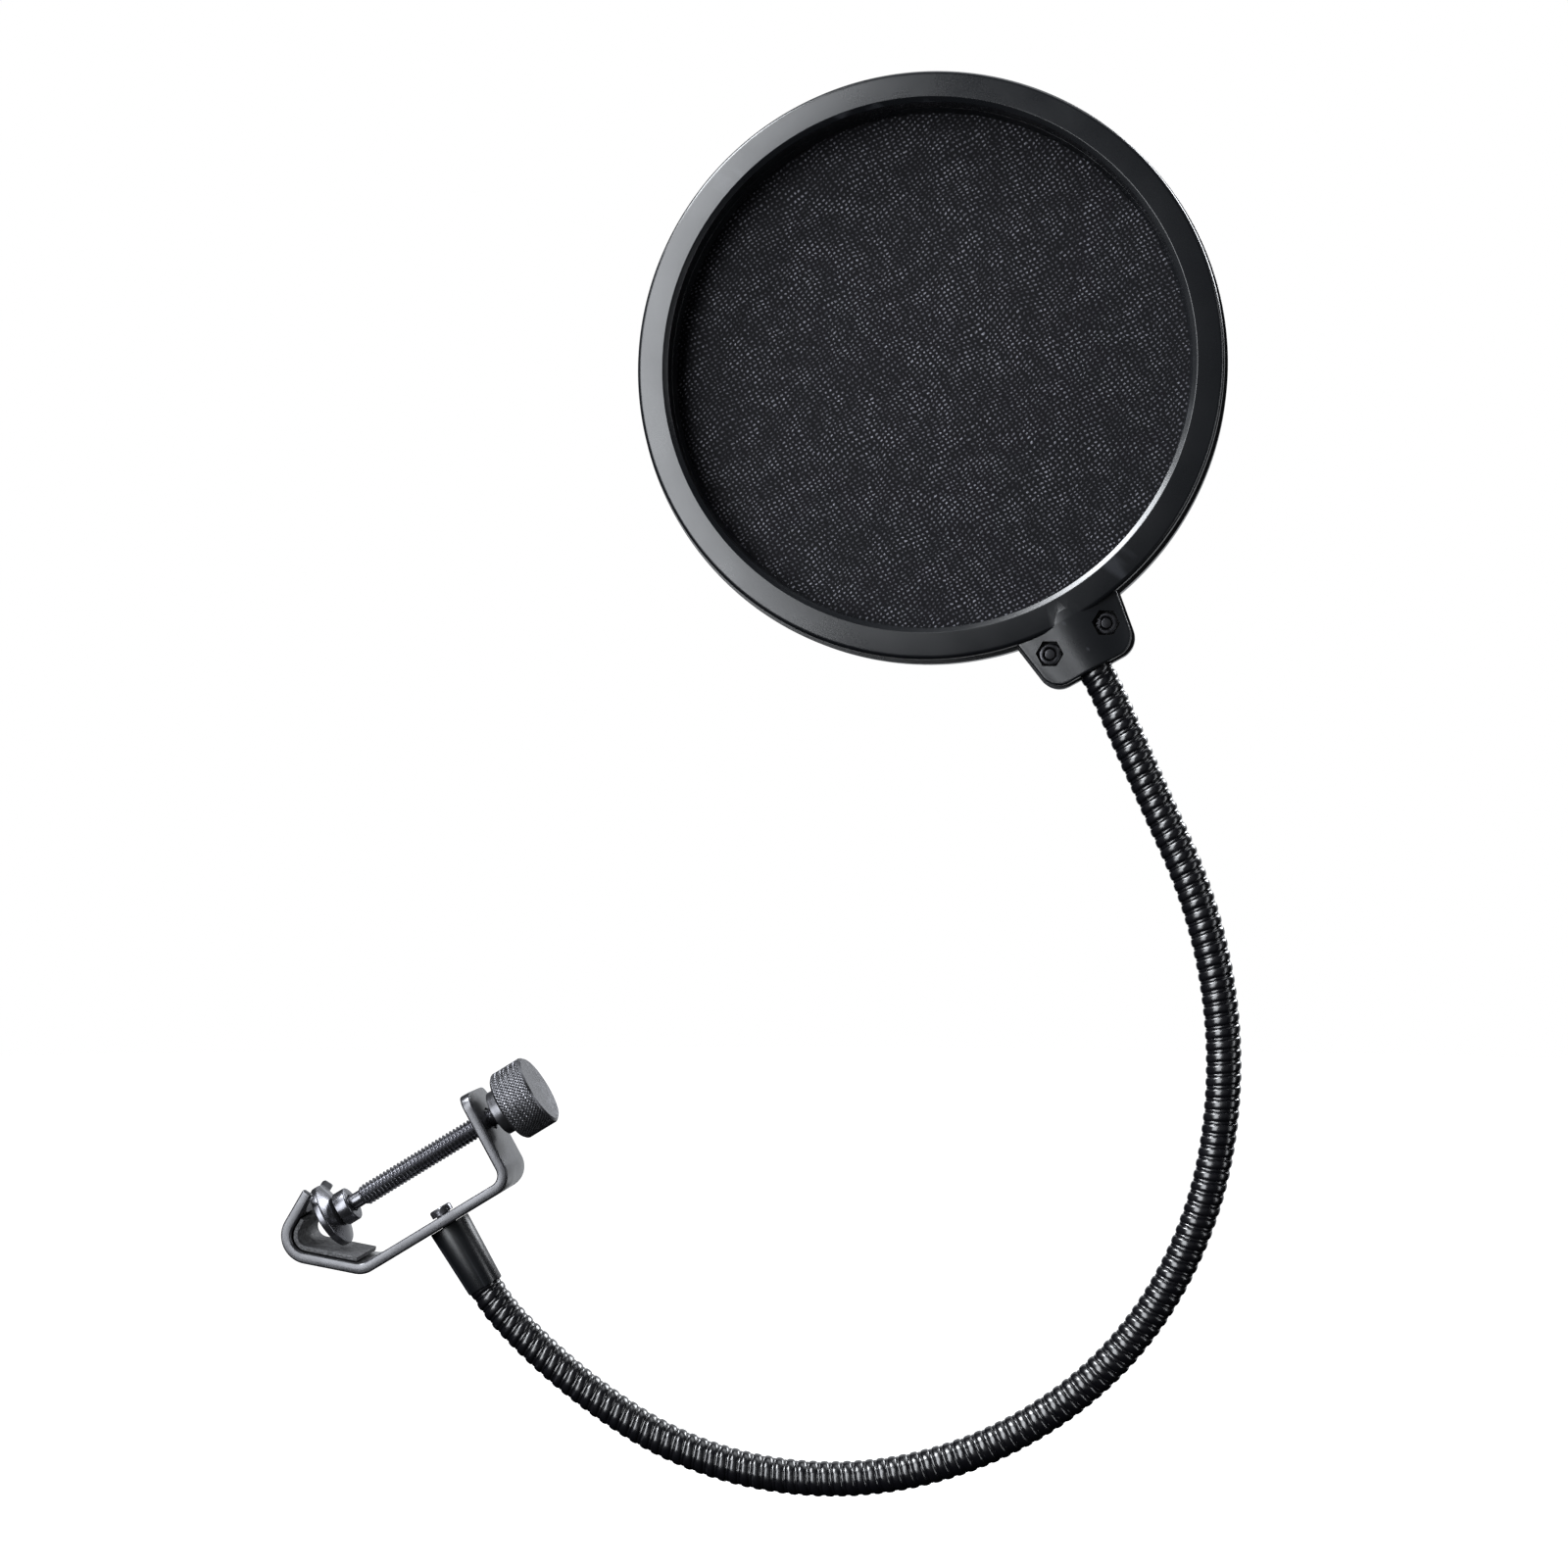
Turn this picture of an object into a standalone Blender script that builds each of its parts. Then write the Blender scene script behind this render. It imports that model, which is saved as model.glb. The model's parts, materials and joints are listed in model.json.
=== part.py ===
"""Pop filter: a hoop with two stretched screens, a bendable gooseneck and a screw clamp.

Units are metres and +Z is up. The neck, the hoop's parting plane and the clamp screw lie in the XZ plane.
The origin is the middle of the clamp's fixed jaw face, on the rubber, where a stand's tube is gripped.
The clamp is drawn in its own axes: s runs along the screw from foot to knob, n points from base to screw.
"""

import math

import bmesh
import bpy
from mathutils import Matrix, Vector

# gaps
GAP = 0.0003  # between pieces that touch
RUN_GAP = 0.0004  # between pieces that turn on each other

# clamp strap, a bent steel strip; the screw's axis is n = 0
CLAMP_TILT = math.radians(31.5)  # screw axis above horizontal
STRAP_WIDTH = 0.020
STRAP_THICKNESS = 0.0029
BASE_DROP = 0.0155  # screw axis to the base's inner face
BASE_LENGTH = 0.0445  # inner corner to inner corner
ARM_LEAN = math.radians(2.5)  # arm past square
ARM_LENGTH = 0.0245  # inner corner to tip
ARM_BEND = 0.003
ARM_CORNER = 0.004  # rounding of the arm's end
ARM_HOLE_RUN = 0.008  # the screw hole's cut runs this far each way from the arm's corner
HOOK_RISE = math.radians(41.0)  # bend from base to jaw
HOOK_FOLD = math.radians(111.0)  # bend from jaw to lip
JAW_LENGTH = 0.0225
JAW_BEND = 0.0036
NOSE_BEND = 0.0046
LIP_LENGTH = 0.0168
NOTCH_WIDTH = 0.0154  # clears the foot's rim
NOTCH_DEPTH = 0.0064
JAW_CORNER_S = 0.0028  # where base and jaw meet inside

# rubber liner in the hook
PAD_THICKNESS = 0.0013
PAD_WIDTH = 0.018
PAD_ON_LIP = 0.0096  # how far up the lip it reaches

# clamp screw, knob and swivel foot
THREAD_RADIUS = 0.0029
THREAD_START_S = 0.0094
SCREW_IN_KNOB = 0.003  # end of the spindle inside the knob
NECK_ROD_RADIUS = 0.0021
BALL_RADIUS = 0.0019
BALL_S = 0.0009
BALL_STEM_RADIUS = 0.0012
FOOT_FACE_S = -0.0019
FOOT_RADIUS = 0.0088
FOOT_RIM = 0.002
FOOT_LENGTH = 0.0038
FOOT_BACK_RADIUS = 0.0039
FOOT_TILT = math.radians(5.0)
BUSH_RADIUS = 0.0047
BUSH_LENGTH = 0.0036
BUSH_S = 0.0024
KNOB_RADIUS = 0.0099
KNOB_STAND_OFF = 0.0093  # the base's arm corner to the knob's underside
KNOB_LENGTH = 0.010
KNOB_CHAMFER = 0.0008
KNOB_BOSS_RADIUS = 0.0063
KNOB_BOSS_LENGTH = 0.0033

# collar between strap and neck
COLLAR_S = 0.0261
COLLAR_LENGTH = 0.019
COLLAR_TOP_RADIUS = 0.00575
COLLAR_END_RADIUS = 0.005
COLLAR_BORE = 0.0039
COLLAR_CHAMFER = 0.0005
INSERT_LENGTH = 0.0115
SCREW_RADIUS = 0.002
SCREW_HEAD_RADIUS = 0.0031
SCREW_HEAD_HEIGHT = 0.002
SCREW_LENGTH = 0.0115
SLOT_WIDTH = 0.0013
SLOT_DEPTH = 0.0009

# gooseneck: arcs from the collar up to the hoop, turns in degrees
NECK_RADIUS = 0.0046
NECK_LEAD = 0.012
NECK_LEAD_TURN = 13.1
LINK_LENGTH = 0.04025
LINK_TURNS = [14.5, 23.4, 22.7, 20.9, 23.2, 20.9, 17.2, 16.7, -0.4]
NECK_TAIL = 0.010
NECK_TAIL_TURN = 5.0
NECK_IN_TAIL = 0.008
SPIGOT_LENGTH = 0.0073

# hoop, centred on its own axis; front faces -Y, halves part at y = 0
RING_FRONT_RADIUS = 0.0766
RING_BACK_RADIUS = 0.0775
RING_FRONT_Y = -0.0072
RING_BACK_Y = 0.0078
RING_ROUND = 0.0011
FACE_INNER_RADIUS = 0.0697
BORE_RADIUS = 0.0684
BEVEL_DEPTH = 0.0009
WINDOW_RADIUS = 0.0677
HOUSING_RADIUS = 0.0715
LEDGE_Y = 0.0033
MESH_THICKNESS = 0.0004
SPACER_HEIGHT = 0.0014

# tail of the hoop, which grips the neck; u runs out from the hoop's centre, v across
TAIL_REACH = 0.0909
TAIL_ROOT_U = 0.0755
TAIL_ROOT_HALF = 0.0152
TAIL_END_HALF = 0.0128
TAIL_CORNER = 0.0056
TAIL_FRONT_Y = -0.004
TAIL_BACK_Y = 0.006
TAIL_STEP = 0.0006  # the front half is this much smaller
BULGE_RADIUS = 0.006
BULGE_END_RADIUS = 0.0046
NUT_U = 0.0813
NUT_V = 0.00828
NUT_FLATS = 0.0055
NUT_HEIGHT = 0.0019
POCKET_FLATS = 0.0064
POCKET_FLOOR_Y = -0.001
TAIL_SCREW_RADIUS = 0.0014
TAIL_HEAD_RADIUS = 0.0027
TAIL_HEAD_HEIGHT = 0.0018
FERRULE_RADIUS = 0.0036
FERRULE_LENGTH = 0.009
FERRULE_FLANGE_RADIUS = 0.0044
FERRULE_FLANGE = 0.0015

RING_SIDES = 72
ROUND_SIDES = 24
NECK_SIDES = 16

MATERIALS = {
    "black_plastic": ((0.014, 0.014, 0.015), 0.42, 0.0),
    "screen_nylon": ((0.012, 0.012, 0.014), 0.8, 0.0),
    "dark_steel": ((0.055, 0.055, 0.06), 0.3, 0.9),
    "neck_black": ((0.01, 0.01, 0.011), 0.25, 0.4),
    "liner_rubber": ((0.03, 0.03, 0.033), 0.75, 0.0),
    "knob_steel": ((0.07, 0.07, 0.075), 0.4, 0.9),
    "plain_steel": ((0.35, 0.35, 0.36), 0.35, 1.0),
}


def clear_scene():
    for thing in list(bpy.data.objects):
        bpy.data.objects.remove(thing, do_unlink=True)


def new_material(name, base):
    colour, roughness, metallic = MATERIALS[base]
    made = bpy.data.materials.new(name)
    made.use_nodes = True
    shader = made.node_tree.nodes["Principled BSDF"]
    shader.inputs["Base Color"].default_value = (*colour, 1.0)
    shader.inputs["Roughness"].default_value = roughness
    shader.inputs["Metallic"].default_value = metallic
    made.diffuse_color = (*colour, 1.0)
    return made


def add_object(name, mesh, base, parent, location=(0, 0, 0), angle=0.0):
    """A named piece on its parent empty; angle turns local +X towards +Z."""
    thing = bpy.data.objects.new(name, mesh)
    bpy.context.collection.objects.link(thing)
    thing.location = location
    thing.rotation_euler = (0.0, -angle, 0.0)
    thing.parent = parent
    if base:
        mesh.materials.append(new_material(name, base))
    for face in mesh.polygons:
        face.use_smooth = True
    mesh.set_sharp_from_angle(angle=math.radians(35))
    return thing


def add_empty(name, location, angle, parent=None):
    guide = bpy.data.objects.new(name, None)
    bpy.context.collection.objects.link(guide)
    guide.location = location
    guide.rotation_euler = (0.0, -angle, 0.0)
    guide.parent = parent
    return guide


def mesh_from_loops(name, loops, closed=False):
    """Skins a list of equal loops of points. A loop of one point is a pole; closed joins last to first."""
    bm = bmesh.new()
    rows = [[bm.verts.new(p) for p in loop] for loop in loops]
    pairs = list(zip(rows, rows[1:]))
    if closed:
        pairs.append((rows[-1], rows[0]))
    for low, high in pairs:
        count = max(len(low), len(high))
        for i in range(count):
            j = (i + 1) % count
            if len(low) == 1:
                bm.faces.new((low[0], high[j], high[i]))
            elif len(high) == 1:
                bm.faces.new((low[i], low[j], high[0]))
            else:
                bm.faces.new((low[i], low[j], high[j], high[i]))
    if not closed:
        for end in (rows[0], rows[-1]):
            if len(end) > 1:
                bm.faces.new(end)
    bmesh.ops.recalc_face_normals(bm, faces=bm.faces)
    mesh = bpy.data.meshes.new(name)
    bm.to_mesh(mesh)
    bm.free()
    return mesh


def lathe(name, profile, sides, closed=False, axis="X"):
    """Turns (along, radius) points about a local axis."""
    loops = []
    for along, radius in profile:
        if radius == 0.0:
            loops.append([around(axis, along, 0.0, 0.0)])
            continue
        turn = 2.0 * math.pi / sides
        loops.append([around(axis, along, radius, i * turn) for i in range(sides)])
    return mesh_from_loops(name, loops, closed)


def around(axis, along, radius, angle):
    across, up = radius * math.cos(angle), radius * math.sin(angle)
    places = {"X": (along, across, up), "Y": (up, along, across), "Z": (across, up, along)}
    return Vector(places[axis])


def arc(centre, radius, start, end, steps):
    """Points on an arc; angles in radians, both ends included."""
    span = [start + (end - start) * i / steps for i in range(steps + 1)]
    return [(centre[0] + radius * math.cos(a), centre[1] + radius * math.sin(a)) for a in span]


def cut(target, cutter, operation="DIFFERENCE"):
    """Adds a live Boolean, and hides the cutter."""
    step = target.modifiers.new(cutter.name, "BOOLEAN")
    step.object = cutter
    step.operation = operation
    step.solver = "EXACT"
    cutter.hide_render = True
    cutter.display_type = "WIRE"


def prism(name, outline, low, high):
    """Extrudes a closed (x, z) outline along Y."""
    loops = [[Vector((x, y, z)) for x, z in outline] for y in (low, high)]
    return mesh_from_loops(name, loops)


# ---- the strap's line, in clamp axes ----


def strap_stations():
    """(inner point, unit normal to the inside, distance to the nearer end) from the arm's tip to the lip's."""
    heads = [-math.pi / 2 - ARM_LEAN, math.pi, math.pi - HOOK_RISE, math.pi - HOOK_RISE - HOOK_FOLD]
    lengths = [ARM_LENGTH, BASE_LENGTH, JAW_LENGTH, LIP_LENGTH]
    bends = [ARM_BEND, JAW_BEND, NOSE_BEND]
    steps = [5, 4, 8]
    corner = Vector((arm_corner(), -BASE_DROP))
    first = Vector((math.cos(heads[0]), math.sin(heads[0])))
    points = [corner - first * ARM_LENGTH, corner]
    for head, length in zip(heads[1:], lengths[1:]):
        points.append(points[-1] + Vector((math.cos(head), math.sin(head))) * length)
    stations = [(points[0], inward(heads[0]))]
    for i, (radius, count) in enumerate(zip(bends, steps)):
        stations += bend(points[i + 1], heads[i], heads[i + 1], radius, count)
    stations.append((points[-1], inward(heads[-1])))
    return stations


def arm_corner():
    """Where the base and the arm meet inside, along the screw."""
    return JAW_CORNER_S + BASE_LENGTH


def inward(head):
    """The unit normal on the right of a heading, which is the clamp's inside."""
    return Vector((math.sin(head), -math.cos(head)))


def bend(corner, head_in, head_out, radius, steps):
    """Stations round a bend that turns right, from tangent point to tangent point."""
    turn = (head_in - head_out) % (2.0 * math.pi)
    back = Vector((math.cos(head_in), math.sin(head_in))) * radius * math.tan(turn / 2.0)
    centre = corner - back + inward(head_in) * radius
    made = []
    for i in range(steps + 1):
        normal = inward(head_in - turn * i / steps)
        made.append((centre - normal * radius, normal))
    return made


def strip_mesh(name, rows):
    """A strip from rows of (inner point, normal, near face, far face, half width)."""
    loops = []
    for point, normal, near, far, half in rows:
        a, b = point + normal * near, point + normal * far
        loops.append([(a.x, -half, a.y), (a.x, half, a.y), (b.x, half, b.y), (b.x, -half, b.y)])
    return mesh_from_loops(name, loops)


def seat_point():
    """The middle of the jaw's rubber face, in clamp axes."""
    head = math.pi - HOOK_RISE
    first = JAW_BEND * math.tan(HOOK_RISE / 2.0)
    last = JAW_LENGTH - NOSE_BEND * math.tan(HOOK_FOLD / 2.0)
    corner = Vector((JAW_CORNER_S, -BASE_DROP))
    along = Vector((math.cos(head), math.sin(head))) * (first + last) / 2.0
    return corner + along + inward(head) * (GAP + PAD_THICKNESS)


# ---- clamp ----


def make_strap(clamp):
    half = STRAP_WIDTH / 2.0
    stations = strap_stations()
    rows = []
    tip, normal = stations[0]
    along = (stations[1][0] - tip).normalized()
    for i in range(6):  # the arm's end is rounded across its width
        turn = math.radians(90.0) * i / 5
        back = ARM_CORNER * (1.0 - math.cos(turn))
        wide = half - ARM_CORNER * (1.0 - math.sin(turn))
        rows.append((tip + along * back, normal, 0.0, -STRAP_THICKNESS, wide))
    rows += [(p, m, 0.0, -STRAP_THICKNESS, half) for p, m in stations[1:]]
    strap = add_object("clamp_strap", strip_mesh("clamp_strap", rows), "dark_steel", clamp)

    low, high = arm_corner() - ARM_HOLE_RUN, arm_corner() + ARM_HOLE_RUN
    hole = [(low, 0.0), (low, THREAD_RADIUS + GAP), (high, THREAD_RADIUS + GAP), (high, 0.0)]
    cut(strap, add_object("cut_arm_hole", lathe("cut_arm_hole", hole, ROUND_SIDES), None, clamp))

    low, high = -BASE_DROP - 0.006, -BASE_DROP + 0.002
    hole = [(low, 0.0), (low, SCREW_RADIUS + GAP), (high, SCREW_RADIUS + GAP), (high, 0.0)]
    tool = lathe("cut_base_hole", hole, ROUND_SIDES, axis="Z")
    cut(strap, add_object("cut_base_hole", tool, None, clamp, (COLLAR_S, 0, 0)))

    cut(strap, make_notch(clamp, stations[-1][0]))
    return strap


def make_notch(clamp, tip):
    """A slot with round inner corners, cut down from the lip's end."""
    head = math.pi - HOOK_RISE - HOOK_FOLD
    half, corner = NOTCH_WIDTH / 2.0, NOTCH_DEPTH * 0.7
    outline = [(0.004, -half), (0.004, half)]
    outline += arc((corner - NOTCH_DEPTH, half - corner), corner, math.pi / 2, math.pi, 6)
    outline += arc((corner - NOTCH_DEPTH, corner - half), corner, math.pi, 1.5 * math.pi, 6)
    loops = [[Vector((x, y, z)) for x, y in outline] for z in (-0.006, 0.006)]
    return add_object("cut_notch", mesh_from_loops("cut_notch", loops), None, clamp, (tip.x, 0, tip.y), head)


def make_pad(clamp):
    """The liner runs from the jaw's start, round the nose and up the lip."""
    stations = strap_stations()
    jaw_head = math.pi - HOOK_RISE
    lip_head = jaw_head - HOOK_FOLD
    jaw_corner = Vector((JAW_CORNER_S, -BASE_DROP))
    nose_corner = jaw_corner + Vector((math.cos(jaw_head), math.sin(jaw_head))) * JAW_LENGTH
    first = JAW_BEND * math.tan(HOOK_RISE / 2.0) + GAP
    start = jaw_corner + Vector((math.cos(jaw_head), math.sin(jaw_head))) * first
    end = nose_corner + Vector((math.cos(lip_head), math.sin(lip_head))) * PAD_ON_LIP
    nose = stations[-10:-1]
    line = [(start, inward(jaw_head))] + nose + [(end, inward(lip_head))]
    far = GAP + PAD_THICKNESS
    rows = [(p, m, GAP, far, PAD_WIDTH / 2.0) for p, m in line]
    add_object("jaw_pad", strip_mesh("jaw_pad", rows), "liner_rubber", clamp)


def make_foot(clamp):
    socket = BALL_RADIUS + GAP
    throat = BALL_STEM_RADIUS + GAP + FOOT_LENGTH * math.sin(FOOT_TILT) / 2.0
    back = FOOT_FACE_S + FOOT_LENGTH
    reach = back - BALL_S
    open_angle = math.acos(min(reach, socket * 0.9) / socket)
    profile = [(0.0, 0.0), (0.0, FOOT_RADIUS - GAP), (GAP, FOOT_RADIUS), (FOOT_RIM, FOOT_RADIUS)]
    profile += [(FOOT_RIM, FOOT_RADIUS - GAP), (FOOT_LENGTH, FOOT_BACK_RADIUS), (FOOT_LENGTH, throat)]
    rings = 5
    ball = BALL_S - FOOT_FACE_S
    for i in range(rings):
        turn = open_angle + (math.pi - open_angle) * i / rings
        profile.append((ball + socket * math.cos(turn), max(throat, socket * math.sin(turn)) if i == 0
                        else socket * math.sin(turn)))
    profile.append((ball - socket, 0.0))
    shape = lathe("foot_disc", profile, ROUND_SIDES + 8)
    add_object("foot_disc", shape, "dark_steel", clamp, (FOOT_FACE_S, 0, 0))

    bore = NECK_ROD_RADIUS + GAP
    ring = [(0.0, bore), (0.0, BUSH_RADIUS), (BUSH_LENGTH, BUSH_RADIUS), (BUSH_LENGTH, bore)]
    shape = lathe("foot_bush", ring, ROUND_SIDES, closed=True)
    add_object("foot_bush", shape, "dark_steel", clamp, (BUSH_S, 0, 0))


def make_spindle(clamp):
    """Ball, stem, plain neck and thread; the thread is drawn at its outer radius."""
    stem = math.asin(BALL_STEM_RADIUS / BALL_RADIUS)
    profile = [(-BALL_RADIUS, 0.0)]
    steps = 6
    for i in range(1, steps + 1):
        turn = (math.pi - stem) * i / steps
        profile.append((-BALL_RADIUS * math.cos(turn), BALL_RADIUS * math.sin(turn)))
    shoulder = BUSH_S - BALL_S - GAP
    thread = THREAD_START_S - BALL_S
    end = knob_start() + SCREW_IN_KNOB - BALL_S
    profile += [(shoulder, BALL_STEM_RADIUS), (shoulder, NECK_ROD_RADIUS), (thread, NECK_ROD_RADIUS)]
    profile += [(thread + 0.0006, THREAD_RADIUS), (end - 0.0005, THREAD_RADIUS)]
    profile += [(end, THREAD_RADIUS - 0.0005), (end, 0.0)]
    shape = lathe("clamp_spindle", profile, ROUND_SIDES)
    add_object("clamp_spindle", shape, "dark_steel", clamp, (BALL_S, 0, 0))


def knob_start():
    """The knob's underside along the screw, just outside the arm when the clamp is fully open."""
    return arm_corner() + KNOB_STAND_OFF


def make_knob(clamp):
    """Round head with a boss; the boss is bored for the spindle."""
    bore = THREAD_RADIUS + GAP
    depth = SCREW_IN_KNOB + GAP
    low = KNOB_RADIUS - KNOB_CHAMFER
    profile = [(depth, 0.0), (depth, bore), (-KNOB_BOSS_LENGTH, bore)]
    profile += [(-KNOB_BOSS_LENGTH, KNOB_BOSS_RADIUS - GAP), (GAP - KNOB_BOSS_LENGTH, KNOB_BOSS_RADIUS)]
    profile += [(0.0, KNOB_BOSS_RADIUS), (0.0, low), (KNOB_CHAMFER, KNOB_RADIUS)]
    profile += [(KNOB_LENGTH - KNOB_CHAMFER, KNOB_RADIUS), (KNOB_LENGTH, low), (KNOB_LENGTH, 0.0)]
    shape = lathe("clamp_knob", profile, ROUND_SIDES + 8)
    add_object("clamp_knob", shape, "knob_steel", clamp, (knob_start(), 0, 0))


# ---- collar ----


def make_collar(collar):
    """Everything here hangs from the collar's empty, whose +X points from the strap down the neck."""
    bevel = COLLAR_CHAMFER
    profile = [(0.0, COLLAR_BORE), (0.0, COLLAR_TOP_RADIUS), (COLLAR_LENGTH - bevel, COLLAR_END_RADIUS)]
    profile += [(COLLAR_LENGTH, COLLAR_END_RADIUS - bevel), (COLLAR_LENGTH, COLLAR_BORE)]
    shape = lathe("neck_collar", profile, ROUND_SIDES + 8, closed=True)
    add_object("neck_collar", shape, "black_plastic", collar)

    bore, outer = SCREW_RADIUS + GAP, COLLAR_BORE - GAP
    ring = [(0.0, bore), (0.0, outer), (INSERT_LENGTH, outer), (INSERT_LENGTH, bore)]
    shape = lathe("collar_insert", ring, ROUND_SIDES, closed=True)
    add_object("collar_insert", shape, "plain_steel", collar)

    head = -(STRAP_THICKNESS + 2.0 * GAP)
    top = head - SCREW_HEAD_HEIGHT
    tip = head + SCREW_LENGTH
    bolt = [(top, 0.0), (top, SCREW_HEAD_RADIUS - 0.0004), (top + 0.0005, SCREW_HEAD_RADIUS)]
    bolt += [(head, SCREW_HEAD_RADIUS), (head, SCREW_RADIUS), (tip, SCREW_RADIUS), (tip, 0.0)]
    screw = add_object("collar_screw", lathe("collar_screw", bolt, ROUND_SIDES), "dark_steel", collar)
    wide, half = 2.0 * SCREW_HEAD_RADIUS, SLOT_WIDTH / 2.0
    outline = [(top - 0.001, -half), (top + SLOT_DEPTH, -half), (top + SLOT_DEPTH, half), (top - 0.001, half)]
    cut(screw, add_object("cut_slot", prism("cut_slot", outline, -wide, wide), None, collar))


# ---- gooseneck ----


def neck_point(length, turn, along, radius, angle):
    """A point on a tube whose centre line starts along +X and turns towards +Z at a steady rate."""
    bent = turn * along / length
    if abs(bent) > 1e-9:
        reach = along / bent
        centre = Vector((reach * math.sin(bent), 0.0, reach * (1.0 - math.cos(bent))))
    else:
        centre = Vector((along, 0.0, 0.0))
    up = Vector((-math.sin(bent), 0.0, math.cos(bent)))
    return centre + Vector((0.0, radius * math.cos(angle), 0.0)) + up * radius * math.sin(angle)


def neck_tube(runs, cup, ball):
    """Loops of a tube along runs of (length, turn): a cup clears the ball before it, a ball ends it."""
    sides = [2.0 * math.pi * i / NECK_SIDES for i in range(NECK_SIDES)]
    place = Matrix.Identity(4)
    loops = []
    if cup:
        hollow = NECK_RADIUS + RUN_GAP
        rim = math.asin(NECK_RADIUS / hollow)
        loops.append([Vector((hollow, 0.0, 0.0))])
        for i in (1, 2, 3):
            turn = rim * i / 3
            loops.append([around("X", hollow * math.cos(turn), hollow * math.sin(turn), a) for a in sides])
        start = hollow * math.cos(rim)
    for index, (length, turn) in enumerate(runs):
        count = max(2, round(length / 0.007))
        for i in range(count + 1):
            along = length * i / count
            if index == 0 and cup and along < start + 0.002:
                continue
            if index and i == 0:
                continue
            loop = [neck_point(length, turn, along, NECK_RADIUS, a) for a in sides]
            loops.append([place @ p for p in loop])
        place = place @ Matrix.Translation(neck_point(length, turn, length, 0.0, 0.0))
        place = place @ Matrix.Rotation(-turn, 4, "Y")
    if ball:
        for i in (1, 2, 3):
            turn = math.radians(90.0) * i / 4
            rings = [around("X", NECK_RADIUS * math.sin(turn), NECK_RADIUS * math.cos(turn), a) for a in sides]
            loops.append([place @ p for p in rings])
        loops.append([place @ Vector((NECK_RADIUS, 0.0, 0.0))])
    return loops, place


def make_neck(collar, tail_name):
    """Links from the collar's mouth to the hoop's tail. Returns the empty at the tail's mouth."""
    base = add_empty("neck_base", (COLLAR_LENGTH + GAP, 0, 0), 0.0, collar)
    runs = [(NECK_LEAD, math.radians(NECK_LEAD_TURN))]
    loops, place = neck_tube(runs, cup=False, ball=True)
    spigot = COLLAR_BORE - GAP
    sides = [2.0 * math.pi * i / NECK_SIDES for i in range(NECK_SIDES)]
    plug = [[around("X", x, spigot, a) for a in sides] for x in (-SPIGOT_LENGTH, 0.0)]
    shape = mesh_from_loops("neck_link_0", plug + loops)
    add_object("neck_link_0", shape, "neck_black", base)

    parent, offset = base, place
    for index, degrees in enumerate(LINK_TURNS, start=1):
        turn = -offset.to_euler().y
        pivot = add_empty(f"pivot_{index}", offset.to_translation(), turn, parent)
        last = index == len(LINK_TURNS)
        runs = [(LINK_LENGTH, math.radians(degrees))]
        if last:
            runs += [(NECK_TAIL, math.radians(NECK_TAIL_TURN)), (NECK_IN_TAIL, 0.0)]
        loops, offset = neck_tube(runs, cup=True, ball=not last)
        name = f"neck_link_{index}"
        add_object(name, mesh_from_loops(name, loops), "neck_black", pivot)
        parent = pivot
    turn = -offset.to_euler().y
    return add_empty(tail_name, offset.to_translation(), turn, parent)


# ---- hoop ----


def tail_outline(shrink):
    """One closed (u, v) outline of the tail; its inner end lies inside the hoop's wall."""
    end = TAIL_REACH - shrink
    side, root = TAIL_END_HALF - shrink, TAIL_ROOT_HALF - shrink
    centre = (end - TAIL_CORNER, side - TAIL_CORNER)
    half = [(0.0705, root), (TAIL_ROOT_U, root)]
    half += arc(centre, TAIL_CORNER, math.radians(78.0), 0.0, 6)
    return half + [(u, -v) for u, v in reversed(half)]


def hex_points(flats, centre):
    radius = flats / math.sqrt(3.0)
    turns = [math.radians(60.0 * i) for i in range(6)]
    return [(centre[0] + radius * math.cos(a), centre[1] + radius * math.sin(a)) for a in turns]


def tail_bores(hoop, half):
    """Cutters for the neck, its ferrule and the ferrule's flange, along the tail's axis."""
    neck_end = TAIL_REACH - NECK_IN_TAIL
    ferrule_end = neck_end - GAP - FERRULE_LENGTH
    wide, slim, flange = NECK_RADIUS + RUN_GAP, FERRULE_RADIUS + GAP, FERRULE_FLANGE_RADIUS + GAP
    step = ferrule_end + FERRULE_FLANGE + GAP
    profile = [(ferrule_end - GAP, 0.0), (ferrule_end - GAP, flange), (step, flange), (step, slim)]
    profile += [(neck_end - GAP, slim), (neck_end - GAP, wide)]
    profile += [(TAIL_REACH + 0.002, wide), (TAIL_REACH + 0.002, 0.0)]
    name = f"cut_neck_{half}"
    return add_object(name, lathe(name, profile, ROUND_SIDES), None, hoop)


def drill(hoop, name, v, radius, low, high):
    profile = [(low, 0.0), (low, radius), (high, radius), (high, 0.0)]
    shape = lathe(name, profile, ROUND_SIDES, axis="Y")
    return add_object(name, shape, None, hoop, (NUT_U, 0, v))


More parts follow.
